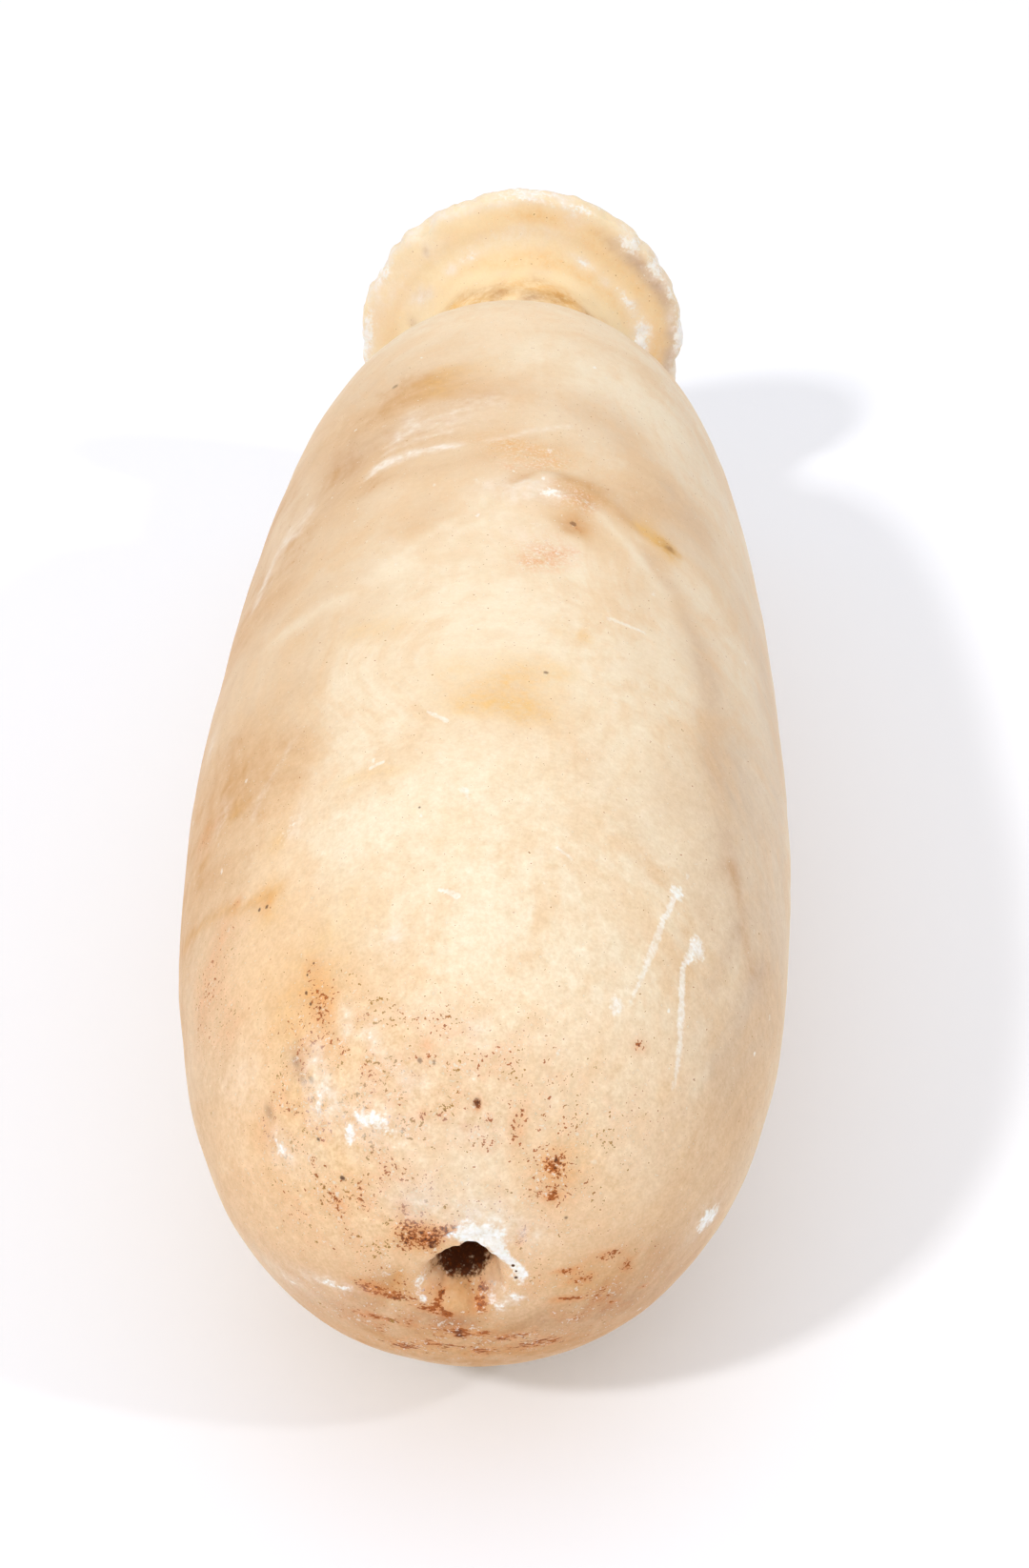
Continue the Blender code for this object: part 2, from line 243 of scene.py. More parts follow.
# Marks on the face of the base: mm to +X and up from the axis, half width, half height, strength
BASE_OVALS = {
    "tan": (
        (0, -15, 24, 6, 0.9), (13, -5, 9, 6, 0.38), (-13, -7, 9, 6, 0.4), (10, 8, 5, 7, 0.12),
        (-14, 8, 7, 7, 0.22), (0, 17, 13, 3.2, 0.3), (22, 2, 5, 12, 0.05), (-5, 2, 4, 5, 0.3),
        (0, -8, 8, 3, 0.45), (-22, 4, 5, 9, 0.15),
    ),
    "peach": ((0, -4.4, 3.2, 2.2, 0.7), (0, 6, 22, 15, 0.7), (-14, 4, 8, 12, 0.3), (-12, 13, 6, 5, 0.4)),
    # Painted shade: the first three, broad ovals darken the lower base, where less light falls; the small
    # ones are stains
    "umber_and_shade": (
        (3, -10, 20, 6, 0.32), (15, -5, 7, 6, 0.26), (-12, -7, 7, 5, 0.16), (-6.5, -3.6, 2.4, 3, 0.3),
        (-1.8, -7.4, 2.6, 1.3, 0.4), (-3.2, 2.2, 1.6, 1.4, 0.3), (-18.7, 10.7, 0.5, 0.6, 0.4),
    ),
    "ochre": (
        (9, 10.8, 2.8, 3.2, 0.5), (5.4, 13, 1.2, 2.8, 0.35), (-5.6, -3.5, 1.5, 2, 0.6),
        (-13, 14.5, 3, 2, 0.4), (-18, 8, 2.5, 2.5, 0.35), (-4.4, 3, 2.6, 2.4, 0.5),
        (0.5, -5.6, 3, 1.2, 0.4), (-0.5, -9, 4.5, 1.6, 0.3), (-9, -4.4, 3, 1.6, 0.3),
        (11, -3.4, 4.5, 3, 0.32), (0, -13, 12, 2.5, 0.3), (-12, 10, 5, 5, 0.2),
    ),
    "grey": ((-16, 15.6, 1.2, 1.2, 0.6), (-1.6, -7.6, 2.6, 1.2, 0.6)),
    "pale": (
        (-0.6, 10.4, 5, 3.8, 0.6), (-4.8, 7.2, 2.6, 2.6, 0.5), (6, 14, 5, 4, 0.35), (-16, -9, 6, 3, 0.35),
        (-13.4, 9.2, 2, 2, 0.35), (2.4, 5.8, 3.6, 2.6, 0.3), (1.5, 5.6, 3, 2, 0.4), (13, 14, 5, 5, 0.2),
    ),
    "rust": (
        (-3, 2.4, 1.1, 1, 1), (-4.5, 3.4, 1.9, 1.8, 0.7), (-1.7, 3.6, 1.1, 0.9, 0.85),
        (-0.8, 4.3, 0.6, 0.6, 0.6), (-5.6, 1.8, 1.4, 1.9, 0.5), (0, -13.5, 17, 3.5, 0.2),
        (-5.2, -3.2, 1.2, 1.6, 0.46), (1, 16.2, 0.5, 0.5, 0.8), (-6, 6.2, 0.8, 1.3, 0.52),
        (-1.8, -5.5, 0.35, 0.5, 0.85), (-2.8, -5.9, 1.5, 0.6, 0.72), (-1.3, -6.5, 0.9, 0.5, 0.85),
        (1.9, -5.2, 0.7, 0.6, 0.85), (1.4, -6.2, 0.7, 0.4, 0.7), (-0.8, -9.8, 1, 0.7, 0.95),
        (-1.6, -8.9, 2.6, 1, 0.55), (1.6, -9.4, 1.2, 0.6, 0.6), (-9.3, -4.2, 2.4, 1.3, 0.6),
        (-6, -5, 2.4, 0.8, 0.65), (8.5, 10.6, 0.6, 0.7, 0.8), (8, 7.4, 0.8, 0.6, 0.6),
        (8.6, 9.4, 2.8, 3.8, 0.42), (5.2, 14.2, 1, 2.4, 0.45), (5.4, 3.6, 0.6, 1, 0.7),
        (5.2, 2.4, 0.4, 0.6, 0.6), (9, -1.3, 1.8, 0.6, 0.64), (10.5, -3, 2.2, 0.9, 0.6),
        (13, -0.6, 1.6, 0.9, 0.6), (14.7, -2.9, 0.8, 1.1, 0.66), (9.8, -5.6, 2.4, 0.7, 0.7),
        (13.4, -7.6, 1, 0.4, 0.62), (16.5, -6.5, 1, 0.4, 0.62), (1.3, -13.3, 1.4, 1, 0.55),
        (-6, -13.4, 2, 0.9, 0.62), (7, -12.5, 3, 0.9, 0.56), (-8, -8.6, 3.5, 0.7, 0.62),
        (-3, -12, 3, 0.7, 0.5), (4, -10.8, 2.5, 0.6, 0.64), (0.5, -2.6, 3.4, 3.2, 0.3),
        (-2.4, -4.4, 1.3, 1.3, 0.22), (-4.2, 15.3, 0.8, 0.6, 0.6), (-2.5, 15.2, 0.8, 0.6, 0.6),
        (0.1, 14.6, 1.2, 0.6, 0.5), (-3.3, 19.8, 1.2, 0.5, 0.4), (-18.5, 8.4, 1.6, 2.2, 0.42),
        (-11.6, 6, 1.1, 1.8, 0.58), (-14.5, 20, 1.8, 1.6, 0.5),
    ),
    "streaks": ((0, -13, 22, 6, 1), (12, -6, 8, 3, 0.8), (-9, -8, 7, 3, 0.7)),
    "chalk": (
        (0.2, 2.8, 1.6, 0.6, 0.95), (1.2, 3.7, 2, 1.4, 0.95), (2.3, 2.7, 1.3, 1.1, 1),
        (3.1, 1.3, 0.9, 1.2, 1), (3.6, 0, 0.7, 1, 1), (4.2, -1.2, 0.8, 1, 0.95), (4, -2.6, 0.7, 0.5, 0.5),
        (-3.4, -3.4, 0.4, 1.1, 0.66), (-2.9, -4.9, 0.5, 0.5, 0.75), (4.2, -4.4, 1.4, 0.5, 0.6),
        (3, -5.7, 1, 0.6, 0.55), (-7.5, -2.1, 0.9, 0.5, 0.6), (-10.5, 12.7, 0.6, 1.1, 0.85),
        (-9.6, 14.3, 1, 0.6, 0.6), (-8.2, 14.1, 1.2, 0.8, 0.8), (-6.9, 13.5, 0.9, 0.7, 0.6),
        (-13.2, 13.6, 0.5, 1.1, 0.65), (-12.5, -5.2, 1.3, 0.5, 0.7), (-13.4, -4.6, 0.9, 0.4, 0.6),
        (-16.8, -8, 1.2, 0.4, 0.6), (-17.3, 8.6, 0.7, 0.9, 0.65), (22.6, -3, 0.7, 1, 1),
        (21.9, -4.5, 0.6, 1, 0.9), (22.9, -4.4, 0.6, 0.9, 0.9), (0.4, 18.4, 0.9, 0.4, 0.5),
        (-8.6, 19.7, 0.6, 0.6, 0.5), (-5.2, 18.3, 0.6, 0.5, 0.4), (-14.3, 17, 0.4, 0.4, 0.4),
        (17, -12, 1, 0.4, 0.4),
    ),
    "dust": (
        (1.6, 5, 3, 2, 0.7), (5.6, 3.4, 2.6, 1.4, 0.5), (-9.4, 13.8, 4.4, 2.6, 0.5),
        (-4.6, 7, 2.4, 2, 0.5), (3.6, -5, 1.9, 1.1, 0.45), (-13, -5, 3, 1, 0.5), (-17, -7.6, 2.4, 1, 0.4),
        (-24, 8.6, 0.9, 0.9, 0.6), (-13.8, 15.2, 1.6, 1.2, 0.5), (0, 14.4, 3, 1, 0.3),
        (-17.2, 8.4, 2, 2, 0.4), (22.4, -4, 1.6, 2.2, 0.4), (-22, 14, 2, 6, 0.3),
        (-13.2, 14.3, 1.3, 1.9, 0.5), (-8.5, 19.7, 1.3, 1, 0.55), (-5.4, 18.2, 1.5, 1.1, 0.45),
        (-11.3, 20.1, 0.9, 0.9, 0.5), (-14.4, 17.1, 1, 0.9, 0.55), (1, 20.7, 0.9, 0.9, 0.4),
    ),
    "specks": (
        (-7, 16, 9, 4, 0.8), (-13, 11, 6, 6, 0.9), (2, 15.5, 5, 3, 0.6), (8, 10, 5, 6, 0.7),
        (-9, 5, 6, 6, 0.6), (-5, 3, 4, 4, 0.7), (0, -10, 16, 6, 1), (12, -4, 7, 4, 0.7),
        (14, 12, 5, 5, 0.4), (-18, 0, 7, 10, 0.3), (0, 2, 12, 10, 0.3), (-4, 20, 9, 3, 0.4),
        (-5, 5, 4, 4, 0.6),
    ),
}

# Single spots: mm to +X and up from the axis on the base, or mm from the base and degrees from the top
# on the body, then radius in mm and strength
BASE_SPOTS = (
    (1, 16.3, 0.36, 0.65), (-4.3, 19.1, 0.2, 0.7), (-3, 19.1, 0.18, 0.7), (-11.4, 8.2, 0.22, 1),
    (-13.7, 11, 0.16, 1), (9.3, 4.8, 0.17, 0.75), (4.4, -0.5, 0.15, 1.1), (4.7, -1.2, 0.11, 1.1),
    (4.7, -2, 0.17, 1.1), (-3.1, 2.1, 0.45, 0.7), (-18.7, 10.7, 0.42, 0.2), (-0.8, -9.8, 0.4, 0.6),
    (-16, 15.8, 0.36, 0.3), (-15.3, 14.9, 0.3, 0.3), (-14.5, 15.3, 0.24, 0.6),
)
BODY_SPOTS = (
    (52.3, 11, 0.22, 0.7), (82.4, 15.2, 0.34, 0.6), (120.6, -27, 0.4, 0.5), (27.2, -46.2, 0.2, 0.9),
    (26.8, -44.2, 0.2, 0.9), (86.4, 36.6, 0.5, 0.3), (14.6, -37.6, 0.15, 0.9), (13.4, -37.2, 0.17, 0.9),
    (16.2, -36.4, 0.12, 0.9), (17, -34.4, 0.12, 0.9), (12.6, -35, 0.12, 0.9), (31.2, -10.5, 0.12, 0.8),
)

# Marks on the rim's underside: mm from the axis, degrees from the top, half width, half length, strength
RIM_OVALS = {
    # The dust ovals 15 to 16 mm from the axis, on the fillet of neck and rim, are partly wear and partly
    # painted highlight along that fillet
    "dust": (
        (15.4, -24, 0.7, 1.8, 0.8), (15.2, -37, 0.7, 1.4, 0.7), (15.6, 31, 0.7, 2, 0.8),
        (15.4, 44, 0.6, 1.6, 0.6), (15.6, 62, 0.7, 2, 0.8), (15.9, 82, 1, 4, 1), (16.8, -6, 1.3, 6, 0.5),
        (18.2, -38, 1.2, 3, 0.3), (18.6, -64, 1.8, 6, 0.4), (15.5, -58, 1, 1.6, 0.7),
        (17.6, 12, 1, 5, 0.3), (20.9, -96, 1.1, 6, 0.95), (20.8, -68, 0.8, 2.5, 0.7),
        (20.9, 0, 0.7, 9, 0.55), (19.6, 20, 1.1, 1.6, 0.6), (20.6, 95, 1, 3.5, 0.8),
        (20.2, 78, 0.9, 1.8, 0.8), (20.4, 60, 1, 2.4, 0.7), (20.4, 46, 0.8, 2, 0.7),
    ),
    "grey": (
        (15.4, -57, 0.9, 1.5, 0.3), (18.8, -43, 0.6, 0.7, 0.45), (19.9, 62, 1.1, 5, 0.8),
        (15, -72, 0.7, 1.2, 0.5), (19.6, 50, 0.8, 3, 0.7), (20, 98, 1, 3.5, 0.7), (20, 82, 0.9, 3, 0.6),
    ),
    # The chalk ovals 15 to 16 mm from the axis are partly wear and partly painted highlight on the fillet
    # of neck and rim
    "chalk": (
        (15.9, 82, 1, 3, 0.9), (20.6, 44, 0.9, 2, 0.8), (20.7, 58, 0.8, 2, 0.8), (20.9, 86, 0.9, 3, 0.9),
        (20.9, -88, 0.9, 5, 0.8), (20.8, -62, 0.6, 2, 0.6), (15.8, 60, 0.7, 2, 0.6),
        (20.6, 70, 0.7, 1.4, 0.7), (20.9, 22, 0.6, 2, 0.6), (20.9, 2, 0.5, 5, 0.5),
        (15.4, -24, 0.6, 1.4, 0.5), (15.6, 32, 0.6, 1.6, 0.6),
    ),
    "amber": (
        (19.2, 6, 1.4, 6.5, 0.65), (18.6, 28, 2.2, 4.4, 0.45), (18.4, -60, 1.6, 5, 0.2),
        (18.2, 75, 2, 6, 0.45), (18.2, 52, 1.8, 4, 0.42), (18.4, -84, 1.8, 5, 0.5), (18, 100, 2, 5, 0.5),
        (18.6, -28, 1.6, 3.4, 0.3), (14.6, 20, 1, 7, 0.5), (14.6, 55, 1, 6, 0.5),
        (14.4, -20, 0.9, 7, 0.4),
    ),
    "umber_and_shade": (
        (19.8, 36, 0.8, 2, 0.16), (19.9, 52, 0.9, 2.4, 0.1), (20.3, 100, 0.9, 3, 0.15),
        (19.9, 66, 0.8, 2, 0.1),
    ),
}

# White scrapes: their places, half width in mm at each end, and strength
STROKES = (
    (((28.2, 41),), 0.8, 0.8, 0.95), (((27.6, 40.6), (24.2, 39.3)), 0.4, 0.32, 0.7),
    (((24.2, 39.3), (20, 38.4)), 0.32, 0.44, 0.6), (((20, 38.4), (14.2, 37)), 0.44, 0.24, 0.5),
    (((13.2, 34),), 0.75, 0.75, 0.7), (((24, 48.6),), 1.05, 1.05, 0.85),
    (((23.4, 47.6), (20.8, 46.4)), 0.6, 0.36, 0.7), (((20.6, 46.5), (16, 50.2)), 0.4, 0.46, 0.6),
    (((16, 50.2), (10.6, 56.4)), 0.46, 0.28, 0.5), (((65, 22.5), (65.4, 30)), 0.3, 0.22, 0.45),
    (((45.6, -10), (43.8, -6.4)), 0.2, 0.26, 0.5), (((33.2, -2.6), (31.8, -1.4)), 0.34, 0.2, 0.55),
    (((21, -6.4), (20.2, -3)), 0.2, 0.34, 0.7), (((27, 15.6), (26.2, 18.4)), 0.18, 0.18, 0.5),
    (((38.4, -20), (38.8, -17.6)), 0.24, 0.2, 0.5),
)

# The radius at which the noise of the rim's edge is taken, in mm, and how much of it lies along the flask
EDGE_NOISE_RADIUS = 21
EDGE_NOISE_ALONG = 60

# Chips out of the rim's edge: degrees from the top, half width in degrees, depth in mm
RIM_CHIPS = (
    (-62, 9, 0.8), (-50, 5, 0.45), (-38, 8, 0.95), (-29, 4, 0.4), (-21, 7, 0.65), (-9, 4, 0.2),
    (14, 5, 0.12), (33, 4, 0.2), (47, 4, 0.25), (58, 8, 0.4), (72, 4, 0.35), (83, 4, 0.4), (97, 9, 0.8),
    (128, 6, 0.4), (171, 10, 0.7), (205, 5, 0.5), (240, 7, 0.35), (268, 5, 0.5),
)

# Key and fill: the way the light travels, how far off and how wide the lamp is, its power and its tint
LAMPS = (
    ("key_light", (0.72, 0.83, -1.00), 2.4, 0.20, 20.2, (1.0, 0.99, 0.975)),
    ("fill_light", (-1.10, 0.45, -1.00), 2.6, 0.15, 9.3, (0.98, 0.99, 1.0)),
)

# Where the camera stands from the middle of the base, where it looks, and its focal length
CAMERA_OFFSET = (0.01227, -0.24948, 0.23055)
CAMERA_DOWN = 35.196
CAMERA_TURN = 1.772
FOCAL_PIXELS = 3800
PICTURE_HEIGHT = 1646
SENSOR = 36.0


def size(name, description, default):
    """A length that a user may change, in metres."""
    return FloatProperty(name=name, description=description, default=default, min=0.0,
                         precision=5, unit="LENGTH")


def colour(name, description, red, green, blue):
    """A colour that a user may change, given as a paint chart does, each share from 0 to 255."""
    linear = [((share / 255 + 0.055) / 1.055) ** 2.4 for share in (red, green, blue)]
    return FloatVectorProperty(name=name, description=description, default=(*linear, 1.0),
                               size=4, min=0.0, max=1.0, subtype="COLOR")


class FlaskSizes(bpy.types.PropertyGroup):
    """The flask's sizes, from its solid where that shows them."""
    length: size("Length", "From the base to the rim's face", 2 * HIGH[1])
    body_radius: size("Body radius", "Half the width of the belly", (HIGH[0] - LOW[0]) / 2)
    belly_from_base: size("Belly", "From the base to the widest place", 0.069)
    flat_depth: size("Flat", "How deep the flat spot under the belly is cut", 0.0007)
    neck_length: size("Neck length", "From the end of the shoulder to the rim's face", 0.0265)
    neck_radius: size("Neck radius", "Outside radius of the neck", 0.0132)
    neck_fillet: size("Neck fillet", "Radius in the corner of shoulder and neck", 0.003)
    rim_radius: size("Rim radius", "Half the width of the disc rim", 0.0212)
    rim_edge: size("Rim edge", "Thickness of the rim at its edge", 0.0035)
    rim_rounding: size("Rim rounding", "Radius along the rim's edges", 0.0006)
    rim_fillet: size("Rim fillet", "Radius in the corner of neck and rim", 0.0048)
    rim_rise: size("Rim rise", "How far the rim's underside slopes", 0.0012)
    wall: size("Wall", "Thickness of the stone at the belly", 0.0085)
    base_wall: size("Base wall", "Thickness of the stone at the base", 0.012)
    shoulder_wall: size("Shoulder wall", "Thickness of the stone at the shoulder", 0.009)
    mouth_radius: size("Mouth radius", "Radius of the opening", 0.007)
    mouth_lip: size("Mouth lip", "Rounding of the opening", 0.0012)
    hole_radius: size("Hole radius", "Radius of the bore through the base", 0.0024)
    funnel_width: size("Funnel width", "Width of the broken funnel round the bore", 0.0070)
    funnel_height: size("Funnel height", "Height of that funnel", 0.0086)
    funnel_drop: size("Funnel drop", "How far below the axis the funnel's middle is", 0.0020)
    funnel_depth: size("Funnel depth", "How far in the funnel reaches", 0.0050)
    lug_height: size("Lug height", "How far the worn lug stands proud", 0.0012)
    columns: IntProperty(name="Columns", description="Faces round the skin", default=240, min=32)


class FlaskColours(bpy.types.PropertyGroup):
    """The colours of the stone and of what is on it."""
    pale: colour("Pale stone", "The lightest clouds in the stone", 251, 233, 204)
    cream: colour("Cream stone", "The stone between its clouds", 243, 212, 173)
    # Tan is also the painted shade along the valley, the fold, the crease, the lug's crest and under a
    # scratch
    tan: colour("Tan", "The broad warm tone of the flanks and the base", 214, 162, 105)
    peach: colour("Peach", "The warm tint of the base", 255, 217, 172)
    # Ochre also tints the inside of the hollow, as painted shade
    ochre: colour("Ochre", "Golden stains in the skin", 238, 189, 112)
    # Umber is a stain, and low on the base it is also painted shade
    umber_and_shade: colour("Umber", "The dull wash low on the base and on the rim", 160, 94, 34)
    orange: colour("Orange", "The stain round rust", 230, 146, 76)
    # Grey is also painted shade along the fold
    grey: colour("Grey bands", "Greyish tan bands in the stone", 206, 172, 142)
    gold: colour("Gold", "The thin, stained stone of the rim", 255, 231, 189)
    amber: colour("Amber", "The deepest stain of the rim", 242, 190, 114)
    chalk: colour("Chalk", "White crust and bruised stone", 255, 250, 241)
    dust: colour("Dust", "Whitish dust and soft scratches", 251, 236, 218)
    rust: colour("Rust", "Iron stains", 168, 84, 20)
    dark_rust: colour("Dark rust", "The middle of the iron stains", 62, 26, 8)
    olive: colour("Olive", "The dull specks", 166, 118, 38)
    brown: colour("Brown", "Single spots", 76, 36, 14)
    # Soil is the dirt in the hole, and also the painted shade of the bore and of the dark oval in its
    # funnel
    soil_and_shade: colour("Soil", "Dirt inside the hole", 80, 38, 8)


class StageSettings(bpy.types.PropertyGroup):
    """The stage that the flask is shown on."""
    floor_width: size("Floor width", "Side of the square floor", 4.0)
    floor: colour("Floor", "The plain floor", 248, 249, 255)
    sky: colour("Surroundings", "The light from all round", 255, 255, 255)
    level_light: FloatProperty(name="Level light", min=0.0, default=0.34,
                               description="How strong the light from low down behind the flask is")
    overhead_light: FloatProperty(name="Overhead light", min=0.0, default=0.93,
                                  description="How much stronger the light from overhead is")


def powered(base, power):
    """A power that takes arrays and never a number below 0."""
    return np.clip(base, 0, None) ** power


def tapered(radius, neck, share):
    """The radius at a share of the way from the belly, at 0, to the neck, at 1."""
    least = neck ** TAPER_FULLNESS
    most = radius ** TAPER_FULLNESS
    return powered(least + (most - least) * (1 - share ** TAPER_SPREAD), 1 / TAPER_FULLNESS)


def base_distance(sizes, radius):
    """How far from the base the round end has a radius."""
    left = powered(1 - (radius / sizes.body_radius) ** BASE_ROUNDNESS, 1 / BASE_ROUNDNESS)
    return sizes.belly_from_base * (1 - left)


def body_radius_at(sizes, distance):
    """The outside radius of the body at distances from the base."""
    belly = sizes.belly_from_base
    end = sizes.length - sizes.neck_length
    before = powered(1 - distance / belly, BASE_ROUNDNESS)
    near_base = sizes.body_radius * powered(1 - before, 1 / BASE_ROUNDNESS)
    share = np.clip((distance - belly) / (end - belly), 0, 1)
    return np.where(distance < belly, near_base, tapered(sizes.body_radius, sizes.neck_radius, share))


def arc(centre, radius, first, last):
    """Points (radius, distance) on an arc about a centre."""
    turns = np.linspace(first, last, ARC_POINTS)
    return np.column_stack([centre[0] + radius * np.cos(turns), centre[1] + radius * np.sin(turns)])


def round_end(radius, start, widest, from_radius):
    """Points of a round end, from a small radius out to the widest place."""
    first = asin((from_radius / radius) ** (BASE_ROUNDNESS / 2))
    turns = np.linspace(first, pi / 2, OUTLINE_POINTS)
    power = 2 / BASE_ROUNDNESS
    return np.column_stack([radius * np.sin(turns) ** power,
                            widest - (widest - start) * powered(np.cos(turns), power)])


def taper(radius, neck, start, end, fillet):
    """Points from past the belly in to the neck, with a fillet in the corner."""
    share = np.sin(np.linspace(0, pi / 2, OUTLINE_POINTS))[1:]
    curve = np.column_stack([tapered(radius, neck, share), start + (end - start) * share])
    curve = curve[curve[:, 0] > neck + fillet]
    return np.vstack([curve, arc((neck + fillet, end + fillet), fillet, 1.5 * pi, pi)])


def outside_outline(sizes, from_radius):
    """The outside, from the hole's lip to the edge of the mouth."""
    underside = sizes.length - sizes.rim_edge
    fillet_top = underside - sizes.rim_rise
    rounding = sizes.rim_rounding
    edge_middle = sizes.rim_radius - rounding
    lip = (sizes.mouth_radius + sizes.mouth_lip, sizes.length - sizes.mouth_lip)
    return np.vstack([
        round_end(sizes.body_radius, 0, sizes.belly_from_base, from_radius),
        taper(sizes.body_radius, sizes.neck_radius, sizes.belly_from_base,
              sizes.length - sizes.neck_length, sizes.neck_fillet),
        arc((sizes.neck_radius + sizes.rim_fillet, fillet_top - sizes.rim_fillet),
            sizes.rim_fillet, pi, pi / 2),
        arc((edge_middle, underside + rounding), rounding, -pi / 2, 0),
        arc((edge_middle, sizes.length - rounding), rounding, 0, pi / 2),
        arc(lip, sizes.mouth_lip, pi / 2, pi),
    ])


def hollow_outline(sizes):
    """The hollow, from inside the mouth to the bore in its floor."""
    radius = sizes.body_radius - sizes.wall
    end = sizes.length - sizes.neck_length - sizes.shoulder_wall
    belly = sizes.belly_from_base
    wide = round_end(radius, sizes.base_wall, belly, sizes.hole_radius * FLOOR_FLARE)
    narrow = taper(radius, sizes.mouth_radius, belly, end, sizes.neck_fillet)
    return np.vstack([wide, narrow])[::-1]


def spaced(outline, spacing):
    """The outline's points again, a rule's spacing apart."""
    steps = np.hypot(*np.diff(outline, axis=0).T)
    keep = np.append(True, steps > 1e-9)
    outline = outline[keep]
    steps = np.hypot(*np.diff(outline, axis=0).T)
    travelled = np.append(0, np.cumsum(steps))
    fine = np.linspace(0, travelled[-1], SPACING_POINTS)
    points = np.column_stack([np.interp(fine, travelled, column) for column in outline.T])
    gaps = spacing(points[:, 0], points[:, 1])
    count = np.append(0, np.cumsum(np.diff(fine) / gaps[:-1]))
    wanted = np.linspace(0, count[-1], int(round(count[-1])) + 1)
    return np.column_stack([np.interp(wanted, count, column) for column in points.T])


def outside_spacing(radius, distance):
    """Rings lie closer round the hole, on the lug and on the rim."""
    gaps = np.full_like(radius, OUTSIDE_GAP * MM)
    for start, end, within, gap in FINE_GAPS:
        gaps[(distance > start * MM) & (distance < end * MM) & (radius < within * MM)] = gap * MM
    return gaps


def hollow_spacing(radius, distance):
    """The hollow needs few rings."""
    return np.where(distance > NECK_GAP_FROM * MM, NECK_GAP * MM, HOLLOW_GAP * MM)


def smooth(share):
    """A share from 0 to 1, eased at both ends."""
    share = np.clip(share, 0, 1)
    return share * share * (3 - 2 * share)


def waves(points, width, seed):
    """Smooth noise in space, mostly from -1 to 1, of features about that wide."""
    random = np.random.default_rng(seed)
    ways = random.normal(size=(WAVE_COUNT, 3))
    ways /= np.linalg.norm(ways, axis=1)[:, None]
    ways *= tau / (2 * width * random.uniform(0.65, 1.6, WAVE_COUNT))[:, None]
    shift = random.uniform(0, tau, WAVE_COUNT)
    total = sum(np.sin(points @ way + phase) for way, phase in zip(ways, shift))
    return total / np.sqrt(WAVE_COUNT)


def ring(circle, distance):
    """One ring of points as (across, up, distance from the base)."""
    return np.column_stack([*circle, np.broadcast_to(distance, circle[0].shape)])


def turned(turn, place):
    """How far a turn in radians is from a place in degrees, the short way round."""
    return (turn - radians(place) + pi) % tau - pi


def fading(along, half_length, across, half_width):
    """1 in the middle of an oval, fading past its edge. Its half sizes are in mm."""
    return np.exp(-(along / (half_length * MM)) ** 2 - (across / (half_width * MM)) ** 2)


